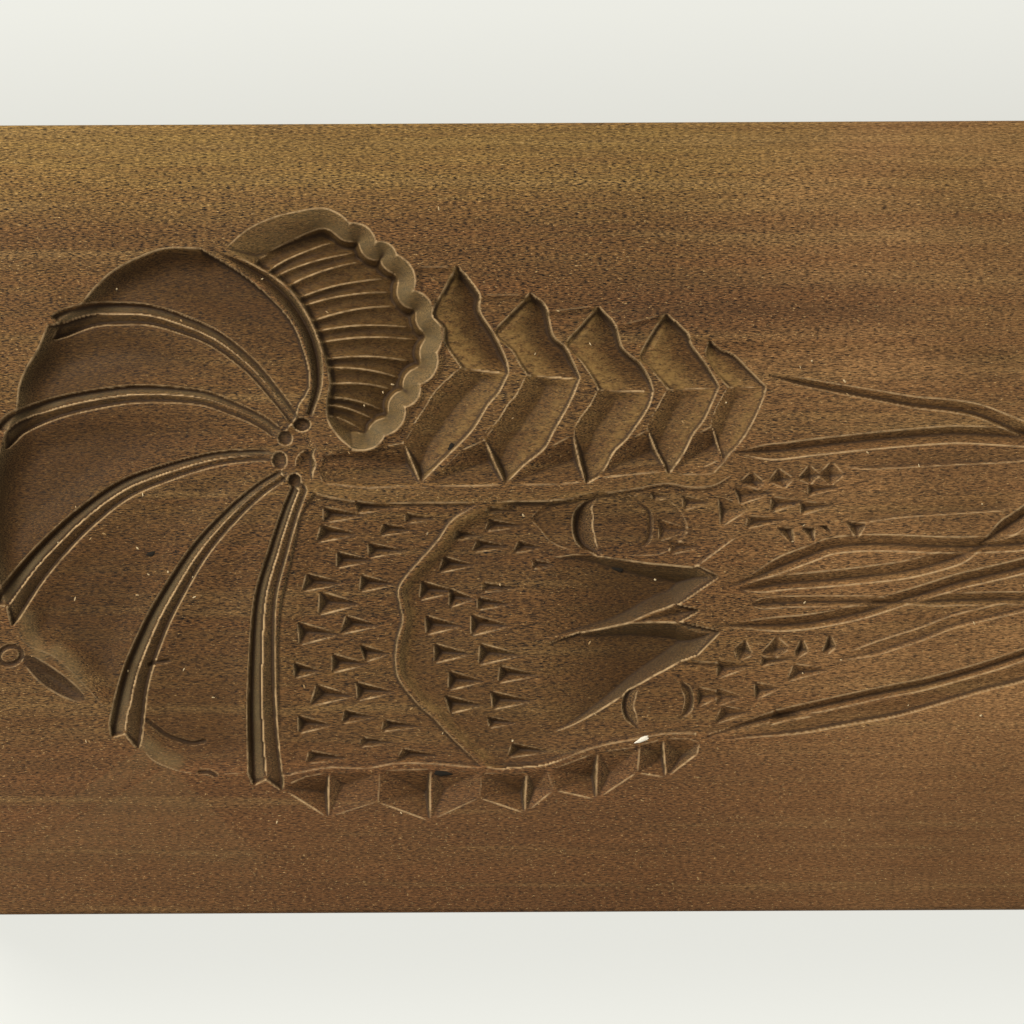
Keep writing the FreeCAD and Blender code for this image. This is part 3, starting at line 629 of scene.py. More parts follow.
feelers = [
    ([(20, 37.5), (35, 34.5), (47.5, 32.2), (58.5, 30.2), (68, 29.2), (76.5, 27.5), (87.5, 23), (97, 20.5)],
     (1.8, 4.2), 1.7, -0.5, (0.4, 0.1)),
    ([(11, 17), (22.5, 17.3), (31, 18.3), (47.5, 20), (64, 21.3), (72.5, 21.5), (87.5, 20.6), (99, 20)],
     (4.2, 4.8), 1.8, 0.1, (0.3, 0.1)),
    ([(9, -18.5), (16, -16), (22.5, -13), (31, -9.8), (36, -8), (43.5, -7.2), (52.5, -7.2), (66, -7.8),
      (77, -7.7), (92, -6.5), (112, -1), (134, 8), (152, 17)], (4.4, 4.2), 1.7, -0.2, (0.2, 0.1)),
    ([(76, -7.5), (82, -4), (87.5, -0.5), (98, 7), (110, 14.5), (126, 22), (142, 26)],
     (5.4, 4.0), 2.2, 0.1, (0.2, 0.1)),
    ([(11, -19.5), (22.5, -17.7), (31, -17), (39, -16.3), (47.5, -15.4), (55.5, -14.4), (64, -12.4),
      (72, -9.8), (77, -8)], (3.6, 5.2), 1.7, -0.2, (0.2, 0.3)),
    ([(14, -23.5), (22.5, -22.8), (31, -22.6), (39, -22.6), (47.5, -22.7), (53, -23)],
     (3.0, 2.6), 1.1, -0.2, (0.2, 0.2)),
    ([(5, -29), (22.5, -28.6), (31, -27.9), (39, -26.5), (45.5, -25), (53, -22.6), (60, -20.6), (70, -17.5),
      (76.5, -16), (87.5, -13.4), (104, -8.5), (126, 2), (146, 14), (158, 22)],
     (3.8, 4.2), 1.7, -0.2, (0.2, 0.1)),
    ([(52, -23), (60, -22.8), (68, -22.3), (80.5, -22), (92, -21.5), (112, -16), (134, -5), (156, 9),
      (168, 20)], (3.2, 3.6), 1.3, -0.2, (0.2, 0.1)),
    ([(36, -38.5), (49, -34.5), (60, -31), (68, -28), (78.5, -25.5), (88, -23.4), (104, -19), (124, -11),
      (142, 0)], (4.6, 3.4), 0.8, -0.6, (0.2, 0.1)),
    ([(3, -58.5), (13.5, -55.2), (22.5, -52.8), (39, -49.2), (51.5, -46.6), (60, -45), (68, -43),
      (76.5, -40.6), (87.5, -37), (104, -31), (126, -20), (148, -6), (166, 10), (178, 27), (184, 37)],
     (3.0, 3.0), 1.7, -0.1, (0.3, 0.1)),
    ([(8, -58.8), (24, -56.2), (41.5, -53), (53, -51), (68, -46.8), (76.5, -44.4), (87.5, -41.6),
      (106, -34.5), (130, -22), (152, -7), (170, 10), (182, 28)], (4.6, 4.6), 1.7, -0.7, (0.2, 0.1))]
for places, width, deep, lean, taper in feelers:
    gouge(bend(places), width, deep, lean=lean, taper=taper)

edge_ridges = [
    [(36, 14), (44, 12.5), (51.5, 12.6), (68, 13.4), (87.5, 14.4), (108, 17), (126, 22)],
    [(42, -2.5), (44.5, -2), (55, -0.5), (72.5, 0.6), (87.5, 1.5)],
    [(40, -36.5), (49, -33.2), (60, -29.8), (68, -26.8), (78.5, -24.2), (87.5, -22.2)]]
for line in edge_ridges:
    win, near, side, along = measure(bend(line), 5)
    fade = ease(along, 0, 0.1) * (1 - ease(along, 0.85, 1))
    depth[win] += 0.5 * fade * np.where(side > 0, 1, 0) * (ease(near, 0, 0.7) - ease(near, 0.7, 5))

pyramids = [
    ([(12.5, 9), (15.2, 11.4), (18, 9), (16.5, 7.8)], (15.6, 9.2)),
    ([(20.3, 9.4), (22.3, 12.2), (25.6, 10), (23.7, 8)], (22.9, 9.8)),
    ([(28, 10.2), (30.4, 13), (32.8, 11), (30.6, 9)], (30.6, 10.6)),
    ([(33.3, 11), (36.4, 13.8), (39, 11), (36.2, 8.8)], (36.2, 10.8)),
    ([(10.6, -35.4), (13, -33.4), (14.6, -36.6), (11.5, -38)], (13, -35.6)),
    ([(18, -36.4), (21.4, -32.6), (24.2, -35.2), (20.6, -37.6)], (21.4, -35.4)),
    ([(26.6, -36), (28.2, -33), (29.6, -35.8), (27, -37.4)], (28, -35.4)),
    ([(34, -36), (35.6, -31.8), (37, -34.8), (35, -36.4)], (35.6, -34.6)),
    ([(22, -3.2), (25.6, -3.4), (26.1, -7.4)], (24.8, -4.2)),
    ([(28.6, -3.2), (31.6, -3.3), (31.4, -6.6)], (30.8, -4)),
    ([(33.2, -2.6), (35, -2.6), (36.4, -4.8)], (34.9, -3.2)),
    ([(40.4, -1.6), (45, -2.4), (43, -5.6)], (43, -3))]
for corners, lowest in pyramids:
    middle = np.mean(corners, axis=0)
    grown = middle + 1.3 * (np.array(corners) - middle)
    facet_pit(grown, middle + 1.3 * (np.array(lowest) - middle), 1.8)
long_chips = [
    (10.3, 5.6, 12, 4.6, -1.8), (20.3, 3.1, 9.6, 4.4, 0.4), (30, 7, 10, 3.4, 0),
    (27.8, 2.2, 10.4, 3.8, -0.4), (14, -1.5, 13, 3.4, 0.6), (6.2, 1.4, 9, 8.4, -0.6),
    (5.6, -40.5, 10.2, 5.4, 0), (15.6, -46.4, 7.5, 4.8, -0.2), (0.4, -48, 8, 5.6, 0),
    (7, -52.8, 8.2, 5.2, 2.4), (17.6, -38.6, 9.8, 2.6, 0.5), (26, -41.6, 10.6, 4.8, 1.8),
    (20.6, -53.4, 14, 4.2, 1.5)]
for form in long_chips:
    chip(form, 0.9, (0.16, 0), 1.5)

# ---------------------------------------------------------------------------------------------
# ODD MARKS
# A slip of the gouge outside the tail with a little pressed ring beside it, three hairline
# cracks in the last lobes, and a dry film of paste left along their rims.
# ---------------------------------------------------------------------------------------------
slip = bend([(-179, -36), (-173, -41), (-168, -44.5), (-162.5, -48)])
win, near, side, along = measure(slip, 5)
swell = np.sqrt(np.sin(np.pi * np.clip(along, 0, 1)))
lens = np.clip(1 - (near / (2.7 * swell + 0.2)) ** 2, 0, 1) * swell
depth[win] += 1.7 * lens ** 2
mark(painted_shade_and_dark_marks, win, 0.85 * ease(lens, 0, 0.3))
ring_middle = np.array([-182.3, -36.0])
ring_reach_along = np.array([2.9, 1.0])
ring_reach_across = np.array([-0.8, 2.2])
ring = [ring_middle + ring_reach_along * math.cos(a) + ring_reach_across * math.sin(a)
        for a in np.linspace(0, 2 * math.pi, 25)]
hairlines = [[(-145.5, -38.8), (-143.6, -38.1), (-140.5, -37.6)],
             [(-146.3, -53.4), (-143, -56), (-140.4, -57.8), (-134.6, -59.6), (-131, -59.1)],
             [(-132, -67.3), (-129.5, -67.3), (-127.8, -68.2)]]
for line, thick in [(ring, 0.48)] + [(bend(places), 0.42) for places in hairlines]:
    win, near, side, along = measure(line, 3)
    stroke = 1 - ease(near, thick * 0.6, thick * 1.6)
    mark(painted_shade_and_dark_marks, win, 0.95 * stroke)
    depth[win] += 0.7 * stroke
residues = [[(-178.5, -26), (-177, -31), (-174, -36)], [(-170, -35), (-166.5, -38), (-163.5, -44)],
            [(-146, -60), (-142, -63.5), (-138.5, -64.5)]]
for line in residues:
    win, near, side, along = measure(bend(line), 5)
    mark(rubbing_and_painted_light, win, 0.3 * (1 - ease(near, 0.5, 3.6)))
    mark(dust_and_painted_light, win, 0.7 * (1 - ease(near, 0.5, 3.2)))


# ---------------------------------------------------------------------------------------------
# THE CARVED BOARD ITSELF
# The sheet of depths becomes the plank's face, its edges are worn round, and its sides and
# underside close it. Flat wood needs few faces and every arris needs many, so an overdrawn
# relief is thinned first, and its points are then set to their true heights.
# ---------------------------------------------------------------------------------------------
arris_wear = 0.18
board_faces = 190000


def soften(sheet, spread):
    """Even out a sheet of depths over a few tenths of a millimetre."""
    reach = max(1, int(math.ceil(3 * spread / cell)))
    weights = np.exp(-0.5 * (np.arange(-reach, reach + 1) * cell / spread) ** 2)
    weights /= weights.sum()
    for axis in (0, 1):
        padded = np.pad(sheet, [(reach, reach) if i == axis else (0, 0) for i in (0, 1)], mode="edge")
        total = np.zeros(sheet.shape)
        for i, weight in enumerate(weights):
            part = [slice(None), slice(None)]
            part[axis] = slice(i, i + sheet.shape[axis])
            total += weight * padded[tuple(part)]
        sheet = total
    return sheet


depth = soften(depth, arris_wear)
blurred = soften(depth, 0.3)
detail = blurred - depth
strength = soften(np.abs(detail), 0.7)
lip_wear = np.clip((detail / (2 * strength + 0.009) - 0.5) / 0.7, 0, 1)
lip_wear *= 1 - 0.5 * ease(depth, 3, 8)
# Painted shade with dirt: a dark tint in every hollow, joined by the painted shade and dark marks laid down
# above.
crease_dirt_and_shade = np.clip((-detail - 0.004) / 0.08, 0, 1)
crease_dirt_and_shade = np.maximum(crease_dirt_and_shade, painted_shade_and_dark_marks)
edge_gap = np.minimum(plank_length / 2 - np.abs(grid_x), plank_width / 2 - np.abs(grid_y))
edge_fall = np.where(edge_gap < worn_edge,
                     worn_edge - np.sqrt(np.maximum(worn_edge ** 2 - (worn_edge - edge_gap) ** 2, 0)), 0)
plain_end = 1 - 0.7 * ease(grid_x, 88, 100)
overdrawn = (1.6 * depth + 1.1 * crease_dirt_and_shade - 1.4 * lip_wear) * plain_end
face_height = plank_top - edge_fall - overdrawn


def rounded_corners(x, y, inset=0.0):
    """Pull the points of the plank's outline in round its four corners."""
    half_x, half_y = plank_length / 2 - inset, plank_width / 2 - inset
    cx, cy = half_x - corner_radius, half_y - corner_radius
    over_x, over_y = np.abs(x) - cx, np.abs(y) - cy
    at_corner = (over_x > 0) & (over_y > 0)
    biggest = np.maximum(over_x, over_y)
    length = np.maximum(np.hypot(over_x, over_y), 1e-9)
    pull = np.where(at_corner, biggest / length, 1)
    return (np.where(at_corner, np.sign(x) * (cx + over_x * pull), x),
            np.where(at_corner, np.sign(y) * (cy + over_y * pull), y))


def put(name, data):
    """A new object in the scene."""
    placed = bpy.data.objects.new(name, data)
    bpy.context.scene.collection.objects.link(placed)
    return placed


rows, columns = depth.shape
round_x, round_y = rounded_corners(grid_x, grid_y)
points = [np.stack([round_x.ravel(), round_y.ravel(), face_height.ravel()], 1)]
index = np.arange(rows * columns).reshape(rows, columns)
quads = [np.stack([index[:-1, :-1], index[:-1, 1:], index[1:, 1:], index[1:, :-1]], 2).reshape(-1, 4)]
rim = np.concatenate([index[0, :-1], index[:-1, -1], index[-1, :0:-1], index[:0:-1, 0]])
rim_x, rim_y = grid_x.ravel()[rim], grid_y.ravel()[rim]
rings = [rim]
for inset, height in ((0.0, underside_bevel), (0.25, 0.25), (underside_bevel, 0.0)):
    shrink_x = (plank_length / 2 - inset) / (plank_length / 2)
    shrink_y = (plank_width / 2 - inset) / (plank_width / 2)
    x, y = rounded_corners(rim_x * shrink_x, rim_y * shrink_y, inset)
    first = sum(len(p) for p in points)
    points.append(np.stack([x, y, np.full(len(x), height)], 1))
    rings.append(np.arange(first, first + len(rim)))
for upper, lower in zip(rings, rings[1:]):
    quads.append(np.stack([upper, lower, np.roll(lower, -1), np.roll(upper, -1)], 1))
points = np.vstack(points) * 0.001
quads = np.vstack(quads)
underside = rings[-1][::-1]
corners = np.concatenate([quads.ravel(), underside])
face_starts = np.concatenate([np.arange(len(quads)) * 4, [len(quads) * 4]])

mesh = bpy.data.meshes.new("carved_board_mesh")
mesh.vertices.add(len(points))
mesh.vertices.foreach_set("co", points.ravel())
mesh.loops.add(len(corners))
mesh.loops.foreach_set("vertex_index", corners)
mesh.polygons.add(len(face_starts))
mesh.polygons.foreach_set("loop_start", face_starts)
mesh.update(calc_edges=True)
mesh.validate()
board = put("carved_lobster_board", mesh)

thin = board.modifiers.new("thin_the_flats", "DECIMATE")
thin.ratio = board_faces / (2.0 * len(quads))
thin.use_collapse_triangulate = True
thinned = bpy.data.meshes.new_from_object(board.evaluated_get(bpy.context.evaluated_depsgraph_get()))
board.modifiers.clear()
board.data = thinned
thinned.name = "carved_board_mesh"
bpy.data.meshes.remove(mesh)

places = np.empty(len(thinned.vertices) * 3)
thinned.vertices.foreach_get("co", places)
places = places.reshape(-1, 3) * 1000


def read_sheet(sheet):
    """The value of a sheet of the grid at each of the board's points."""
    column = np.clip(np.interp(places[:, 0], across_x, np.arange(columns)), 0, columns - 1.001)
    row = np.clip(np.interp(places[:, 1], across_y, np.arange(rows)), 0, rows - 1.001)
    c, r = column.astype(int), row.astype(int)
    u, v = column - c, row - r
    value = (sheet[r, c] * (1 - u) * (1 - v) + sheet[r, c + 1] * u * (1 - v)
             + sheet[r + 1, c] * (1 - u) * v + sheet[r + 1, c + 1] * u * v)
    on_face = places[:, 2] > underside_bevel + 1
    return np.where(on_face, value, 0)


clear_of_edge = ((plank_length / 2 - np.abs(places[:, 0]) > 3) & (plank_width / 2 - np.abs(places[:, 1]) > 3)
                 & (places[:, 2] > underside_bevel + 1))
places[:, 2] = np.where(clear_of_edge, plank_top - read_sheet(depth), places[:, 2])
thinned.vertices.foreach_set("co", (places * 0.001).ravel())
littered = 0.12 + 0.9 * np.exp(-((grid_x + 150) / 26) ** 2 - ((grid_y + 5) / 24) ** 2)
littered += 0.25 * ease(depth, 0.3, 1.5)
littered *= ease(edge_gap, 2, 6)
for name, sheet in (("lip_wear", lip_wear), ("crease_dirt_and_shade", crease_dirt_and_shade), ("rubbing_and_painted_light", rubbing_and_painted_light), ("dust_and_painted_light", dust_and_painted_light),
                    ("littered", littered)):
    layer = thinned.attributes.new(name, "FLOAT", "POINT")
    layer.data.foreach_set("value", read_sheet(sheet))
thinned.polygons.foreach_set("use_smooth", np.ones(len(thinned.polygons), bool))
thinned.update()


class Recipe:
    """A material's nodes, joined one to the next."""

    def __init__(self, name):
        self.material = bpy.data.materials.new(name)
        self.material.use_nodes = True
        self.tree = self.material.node_tree
        self.shader = self.tree.nodes["Principled BSDF"]

    def node(self, kind, inputs=(), **settings):
        """One more node, with its settings made and its inputs fed."""
        node = self.tree.nodes.new(kind)
        for key, value in settings.items():
            setattr(node, key, value)
        for socket, value in dict(inputs).items():
            self.feed(node.inputs[socket], value)
        return node

    def feed(self, socket, value):
        """Give an input a plain value, or what comes out of another node."""
        if isinstance(value, bpy.types.NodeSocket):
            self.tree.links.new(value, socket)
        else:
            socket.default_value = value

    def mix(self, share, first, second, blend="MIX"):
        """A share of the second colour laid over the first."""
        node = self.node("ShaderNodeMix", data_type="RGBA", blend_type=blend)
        self.feed(node.inputs[0], share)
        self.feed(node.inputs[6], first)
        self.feed(node.inputs[7], second)
        return node.outputs[2]

    def sum(self, operation, first, second=0.0):
        """A sum with one number or two."""
        node = self.node("ShaderNodeMath", operation=operation)
        self.feed(node.inputs[0], first)
        self.feed(node.inputs[1], second)
        return node.outputs[0]

    def times(self, first, second):
        return self.sum("MULTIPLY", first, second)

    def stretch(self, value, low, high, to_low=0.0, to_high=1.0):
        """A value's range from low to high, laid out afresh between two other ends."""
        node = self.node("ShaderNodeMapRange")
        for i, v in enumerate((value, low, high, to_low, to_high)):
            self.feed(node.inputs[i], v)
        return node.outputs[0]

    def sheet(self, name):
        """What one of the board's sheets says at each of its points."""
        return self.node("ShaderNodeAttribute", attribute_name=name).outputs["Fac"]

    def noise(self, scale, detail=3.0, roughness=0.5, offset=(0, 0, 0), wander=0.0):
        """Noise on the piece's own coordinates, with its own fineness along each of X, Y and Z."""
        mapping = self.node("ShaderNodeMapping", {"Vector": self.places, "Scale": scale, "Location": offset})
        settings = {"Vector": mapping.outputs[0], "Scale": 1.0, "Detail": detail, "Roughness": roughness,
                    "Distortion": wander}
        return self.node("ShaderNodeTexNoise", settings).outputs[0]


def tint(red, green, blue):
    """A colour given as it is seen, 0 to 255, as the shader wants it."""
    return tuple(((v / 255 + 0.055) / 1.055) ** 2.4 if v > 10 else v / 255 / 12.92
                 for v in (red, green, blue)) + (1.0,)


# Cherry: soft bands and streaks along the plank, a pale upper edge, a worn patch and a stain.
wood = Recipe("carved_cherry")
coordinates = wood.node("ShaderNodeTexCoord")
wood.places = coordinates.outputs["Object"]
split = wood.node("ShaderNodeSeparateXYZ", {"Vector": wood.places})
x_place, y_place, z_place = split.outputs
facing = wood.node("ShaderNodeSeparateXYZ", {"Vector": coordinates.outputs["Normal"]})
bands = wood.noise((2.2, 42, 30), 4, 0.55)
streaks = wood.noise((26, 900, 600), 3, 0.6)
blotches = wood.noise((14, 26, 26), 3, 0.55, (0.3, 0.1, 0))
base = wood.mix(wood.stretch(bands, 0.34, 0.66), tint(87, 61, 30), tint(105, 78, 41))
base = wood.mix(wood.stretch(blotches, 0.4, 0.7, 0, 0.5), base, tint(90, 60, 32))
gold_line = wood.sum("ADD", y_place, wood.stretch(wood.noise((5, 40, 10), 3), 0, 1, -0.008, 0.008))
gold = wood.stretch(gold_line, 0.077, 0.093)
base = wood.mix(gold, base, tint(128, 100, 52))
worn_patch = wood.times(wood.stretch(x_place, -0.01, 0.05),
                      wood.stretch(blotches, 0.35, 0.6, 0.35, 1))
base = wood.mix(wood.times(worn_patch, 0.9), base, tint(146, 108, 66))
stain_x = wood.stretch(wood.sum("ABSOLUTE", wood.sum("ADD", x_place, -0.014)), 0.03, 0.056, 1, 0)
stain_y = wood.stretch(wood.sum("ABSOLUTE", wood.sum("ADD", y_place, -0.056)), 0.002, 0.010, 1, 0)
stain = wood.times(wood.times(stain_x, stain_y), wood.stretch(bands, 0.3, 0.6, 0.4, 1))
base = wood.mix(wood.times(stain, 0.85), base, tint(74, 50, 28))
low_end = wood.stretch(gold_line, -0.045, -0.08)
base = wood.mix(wood.times(low_end, 0.5), base, tint(94, 60, 33))
base = wood.mix(wood.stretch(streaks, 0.32, 0.68, 0, 0.65), base, wood.mix(0.65, base, tint(78, 50, 26)))
fibres = wood.noise((7, 230, 160), 4, 0.6, (0.7, 0, 0))
base = wood.mix(wood.stretch(fibres, 0.48, 0.72, 0, 0.5), base, tint(106, 70, 38))
base = wood.mix(wood.stretch(fibres, 0.46, 0.3, 0, 0.4), base, tint(132, 104, 62))

# Pores and flecks, strongest on the planed face, and painted shade with darker wood down in the cuts, darker
# the deeper they go.
sunk = wood.stretch(z_place, (plank_top - 0.5) * 0.001, (plank_top - 4.0) * 0.001)
grit = wood.times(wood.stretch(gold_line, -0.08, -0.03, 0.65, 1.15),
                wood.stretch(sunk, 0, 1, 1, 0.62))
grit = wood.times(grit, wood.stretch(gold_line, 0.088, 0.098, 1, 0.7))
grit = wood.times(grit, wood.stretch(x_place, -0.02, 0.05, 1, 0.72))
pores = wood.stretch(wood.noise((780, 4100, 4100), 2, 0.6, wander=0.5), 0.33, 0.67, -1.05, 1.1)
grain_light = wood.sum("ADD", wood.times(pores, grit), 1.0)
specks = wood.stretch(wood.noise((1500, 2600, 2400), 2, 0.5, (3.1, 1.7, 0.4)), 0.65, 0.71)
base = wood.mix(wood.times(specks, 0.5), base, tint(176, 146, 96))

end_grain = wood.stretch(wood.sum("ABSOLUTE", facing.outputs[0]), 0.3, 0.75)
base = wood.mix(wood.times(end_grain, 0.6), base, tint(96, 82, 54))
# Painted shade: the cuts turn darker with depth, along with the darker wood in them.
base = wood.mix(wood.times(sunk, 0.76), base, tint(60, 38, 10))
base = wood.mix(1.0, base, grain_light, "MULTIPLY")

# What use has left, with painted light and shade laid in: a dusting and a painted lighter tone on steep
# walls and lit slopes, rubbing and painted light on faces turned to the light, dirt and painted shade in
# creases and hollows, and pale worn lips.
dust_and_light_share = wood.sheet("dust_and_painted_light")
dust_and_light_share = wood.times(dust_and_light_share, wood.stretch(wood.noise((120, 120, 120), 3), 0.3, 0.7, 0.35, 0.9))
base = wood.mix(dust_and_light_share, base, tint(98, 85, 58))
rub_and_light_share = wood.sheet("rubbing_and_painted_light")
rub_and_light_share = wood.times(rub_and_light_share, wood.stretch(wood.noise((420, 760, 420), 4, 0.65), 0.38, 0.6, 0.1, 1))
base = wood.mix(wood.times(rub_and_light_share, 0.75), base, tint(142, 110, 60))
crease_dirt_and_shade_share = wood.sheet("crease_dirt_and_shade")
base = wood.mix(wood.times(crease_dirt_and_shade_share, 0.8), base, tint(48, 33, 18))
lip_share = wood.sheet("lip_wear")
patchy = wood.stretch(wood.noise((420, 420, 420), 3, 0.6), 0.32, 0.56, 0.3, 1)
lip_share = wood.times(wood.stretch(lip_share, 0.1, 0.8, 0, 0.95), patchy)
base = wood.mix(lip_share, base, tint(184, 152, 108))
wood.feed(wood.shader.inputs["Base Color"], base)
wood.feed(wood.shader.inputs["Roughness"], wood.stretch(blotches, 0.3, 0.7, 0.62, 0.76))
wood.shader.inputs["Specular IOR Level"].default_value = 0.2
grain_height = wood.sum("ADD", streaks, wood.times(pores, 0.3))
grain_bump = wood.node("ShaderNodeBump", {"Height": grain_height, "Strength": 0.5, "Distance": 0.0002})
wood.feed(wood.shader.inputs["Normal"], grain_bump.outputs[0])

thinned.materials.clear()
thinned.materials.append(wood.material)
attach(board, "root")
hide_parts("carved_board")

# ---------------------------------------------------------------------------------------------
# CRUMBS
# Dry crumbs and fibres of wood and paste that lie about in the cuts, thickest in the third and
# fourth lobes. They are strewn over the board's own face, then made into one loose piece.
# ---------------------------------------------------------------------------------------------
crumb_count_per_cm2 = 0.45
crumb_radius = 0.0005
crumb_length = (0.5, 1.5)
crumb_breadth = (0.3, 0.6)
crumb_height = (0.3, 0.5)
crumb_tilt = 0.2
crumb_turn = 3.1
crumb_seed = 11


def strewing(material):
    """A node group that strews small flattened grains over a mesh, by its 'littered' attribute."""
    tree = bpy.data.node_groups.new("strewn_crumbs", "GeometryNodeTree")
    tree.interface.new_socket(name="Geometry", in_out="INPUT", socket_type="NodeSocketGeometry")
    tree.interface.new_socket(name="Geometry", in_out="OUTPUT", socket_type="NodeSocketGeometry")
    amount = tree.interface.new_socket(name="Amount", in_out="INPUT", socket_type="NodeSocketFloat")
    seed = tree.interface.new_socket(name="Seed", in_out="INPUT", socket_type="NodeSocketInt")

    def add(kind, **settings):
        node = tree.nodes.new(kind)
        for key, value in settings.items():
            setattr(node, key, value)
        return node

    def join(start, end):
        tree.links.new(start, end)

    came_in, goes_out = add("NodeGroupInput"), add("NodeGroupOutput")
    where = add("GeometryNodeInputNamedAttribute", data_type="FLOAT")
    where.inputs[0].default_value = "littered"
    density = add("ShaderNodeMath", operation="MULTIPLY")
    join(where.outputs[0], density.inputs[0])
    join(came_in.outputs["Amount"], density.inputs[1])
    points = add("GeometryNodeDistributePointsOnFaces")
    join(came_in.outputs["Geometry"], points.inputs["Mesh"])
    join(density.outputs[0], points.inputs["Density"])
    join(came_in.outputs["Seed"], points.inputs["Seed"])
    grain = add("GeometryNodeMeshIcoSphere")
    grain.inputs["Radius"].default_value = crumb_radius
    grain.inputs["Subdivisions"].default_value = 1
    turn = add("FunctionNodeRandomValue", data_type="FLOAT_VECTOR")
    turn.inputs[0].default_value = (-crumb_tilt, -crumb_tilt, -crumb_turn)
    turn.inputs[1].default_value = (crumb_tilt, crumb_tilt, crumb_turn)
    join(came_in.outputs["Seed"], turn.inputs["Seed"])
    size = add("FunctionNodeRandomValue", data_type="FLOAT_VECTOR")
    size.inputs[0].default_value = (crumb_length[0], crumb_breadth[0], crumb_height[0])
    size.inputs[1].default_value = (crumb_length[1], crumb_breadth[1], crumb_height[1])
    join(came_in.outputs["Seed"], size.inputs["Seed"])
    place = add("GeometryNodeInstanceOnPoints")
    join(points.outputs["Points"], place.inputs["Points"])
    join(grain.outputs["Mesh"], place.inputs["Instance"])
    join(turn.outputs[0], place.inputs["Rotation"])
    join(size.outputs[0], place.inputs["Scale"])
    real = add("GeometryNodeRealizeInstances")
    join(place.outputs[0], real.inputs[0])
    paint = add("GeometryNodeSetMaterial")
    paint.inputs["Material"].default_value = material
    join(real.outputs[0], paint.inputs["Geometry"])
    join(paint.outputs[0], goes_out.inputs[0])
    return tree, amount.identifier, seed.identifier


flake = Recipe("dry_crumb")
flake.places = flake.node("ShaderNodeTexCoord").outputs["Object"]
flake_tone = flake.mix(flake.stretch(flake.noise((60, 60, 60), 2), 0.4, 0.6), tint(158, 124, 76),
                       tint(206, 182, 138))
flake.feed(flake.shader.inputs["Base Color"], flake_tone)
flake.shader.inputs["Roughness"].default_value = 0.8
tree, amount_socket, seed_socket = strewing(flake.material)
litter = put("crumbs", thinned.copy())
strew = litter.modifiers.new("strew", "NODES")
strew.node_group = tree
strew[amount_socket] = crumb_count_per_cm2 * 1e4
strew[seed_socket] = crumb_seed
strewn = bpy.data.meshes.new_from_object(litter.evaluated_get(bpy.context.evaluated_depsgraph_get()))
litter.modifiers.clear()
litter.data = strewn
strewn.name = "crumbs_mesh"
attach(litter, "root")

# ---------------------------------------------------------------------------------------------
# SPOTS AND A SLIVER
# Four dark spots of scorched sugar, pressed flat where they fell, and one pale sliver of paste
# caught on the shield's lower line.
# ---------------------------------------------------------------------------------------------
scorched = Recipe("scorched_sugar")
scorched.shader.inputs["Base Color"].default_value = tint(30, 25, 17)
scorched.shader.inputs["Roughness"].default_value = 0.85
scorched.shader.inputs["Specular IOR Level"].default_value = 0.2
paste = Recipe("dried_paste")
paste.shader.inputs["Base Color"].default_value = tint(232, 222, 200)
paste.shader.inputs["Roughness"].default_value = 0.7


def blob(name, x, y, long, broad, turn, material):
    """A flattened grain, half sunk where it lies."""
    count, points, faces = 12, [], []
    for level, share in ((-0.15, 1.0), (0.12, 0.85), (0.24, 0.4)):
        for i in range(count):
            a = 2 * math.pi * i / count
            r = share * (1 + 0.16 * math.sin(3 * a + x) + 0.1 * math.cos(5 * a + y))
            u, v = long / 2 * r * math.cos(a), broad / 2 * r * math.sin(a)
            points.append((u * math.cos(turn) - v * math.sin(turn), u * math.sin(turn) + v * math.cos(turn),
                           level))
    for ring_start in (0, count):
        for i in range(count):
            j = (i + 1) % count
            faces.append((ring_start + i, ring_start + j, ring_start + count + j, ring_start + count + i))
    faces.append(tuple(range(count))[::-1])
    faces.append(tuple(range(2 * count, 3 * count)))
    sunk_to = depth[np.searchsorted(across_y, y), np.searchsorted(across_x, x)]
    placed = [((x + u) * 0.001, (y + v) * 0.001, (plank_top - sunk_to + w) * 0.001) for u, v, w in points]
    mesh = bpy.data.meshes.new(name + "_mesh")
    mesh.from_pydata(placed, [], faces)
    mesh.materials.append(material)
    piece = put(name, mesh)
    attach(piece, "root")


blob("spot_in_lobe", -144.9, -9.2, 2.8, 1.4, 0.3, scorched.material)
blob("spot_in_segment", -64.6, 18.8, 2.6, 2.0, 0.7, scorched.material)
blob("spot_in_horn", -20.6, -13.8, 3.6, 1.4, -0.2, scorched.material)
blob("spot_in_spine", -67.6, -67.8, 5.2, 1.7, -0.1, scorched.material)
blob("paste_sliver", -14.4, -59.2, 4.4, 1.3, 0.4, paste.material)
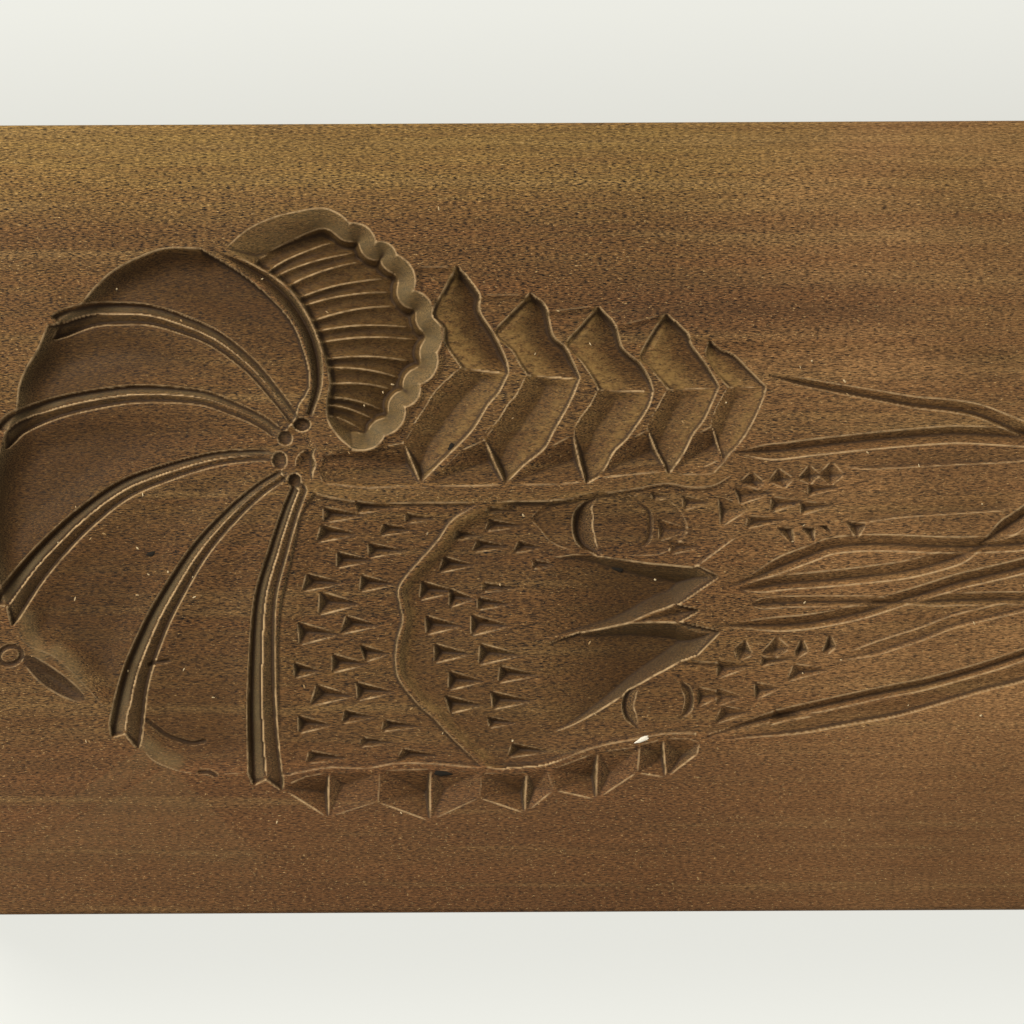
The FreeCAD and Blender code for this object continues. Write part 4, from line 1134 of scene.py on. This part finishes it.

# ---------------------------------------------------------------------------------------------
# THE FLOOR, THE LIGHT AND THE CAMERA
# A pale floor that glows as painted light, most below the board and least close above it (a
# painted soft shadow), a wide soft light from the upper left, and a camera straight above the
# tail and head, turned by a quarter of a degree.
# ---------------------------------------------------------------------------------------------
floor_mesh = bpy.data.meshes.new("floor_mesh")
floor_size = 3.0
floor_mesh.from_pydata([(-floor_size, -floor_size, 0), (floor_size, -floor_size, 0),
                        (floor_size, floor_size, 0), (-floor_size, floor_size, 0)], [], [(0, 1, 2, 3)])
floor = put("floor", floor_mesh)
pale = Recipe("pale_floor")
pale.shader.inputs["Base Color"].default_value = tint(100, 101, 98)
pale.shader.inputs["Roughness"].default_value = 0.9
pale.shader.inputs["Emission Color"].default_value = (1.0, 1.0, 0.93, 1.0)
# Painted light: the floor glows, most below the board, where its shadow would fall, and least close above
# its upper edge, a painted soft shadow there.
floor_y = pale.node("ShaderNodeSeparateXYZ",
                    {"Vector": pale.node("ShaderNodeTexCoord").outputs["Object"]}).outputs[1]
painted_light_below = pale.stretch(floor_y, -0.09, -0.105, 0.0, 0.07)
painted_light_above = pale.stretch(floor_y, 0.104, 0.14, 0.6, 0.67)
painted_light_beneath = pale.stretch(floor_y, 0.0, 0.09, 0.07, 0.0)
painted_floor_light = pale.sum("ADD", pale.sum("ADD", painted_light_below, painted_light_above), painted_light_beneath)
pale.feed(pale.shader.inputs["Emission Strength"], painted_floor_light)
floor_mesh.materials.append(pale.material)

view_settings = bpy.context.scene.view_settings
view_settings.view_transform = "Standard"
world = bpy.data.worlds.new("studio")
world.use_nodes = True
world.node_tree.nodes["Background"].inputs[0].default_value = (1.0, 0.985, 0.95, 1.0)
world.node_tree.nodes["Background"].inputs[1].default_value = 0.5
bpy.context.scene.world = world


def area_light(name, place, aim, size, power, colour):
    """A square light at a place, turned to face its aim."""
    light = bpy.data.lights.new(name, "AREA")
    light.size = size
    light.energy = power
    light.color = colour
    holder = put(name, light)
    direction = np.array(aim, float) - np.array(place, float)
    flat = math.hypot(direction[0], direction[1])
    holder.location = place
    holder.rotation_euler = (math.atan2(flat, -direction[2]), 0,
                             math.atan2(direction[1], direction[0]) - math.pi / 2)


area_light("window", place=(-1.15, 0.85, 1.15), aim=(-0.05, 0, 0.04), size=0.9, power=37,
           colour=(1.0, 0.97, 0.92))

camera_height = 1.1
seen_width = 0.2722
camera_data = bpy.data.cameras.new("camera")
camera_data.sensor_width = 36.0
camera_data.lens = 36.0 * (camera_height - plank_top * 0.001) / seen_width
camera = put("camera", camera_data)
camera.location = (-0.0487, 0.0015, camera_height)
camera.rotation_euler = (0, 0, math.radians(-0.27))
bpy.context.scene.camera = camera
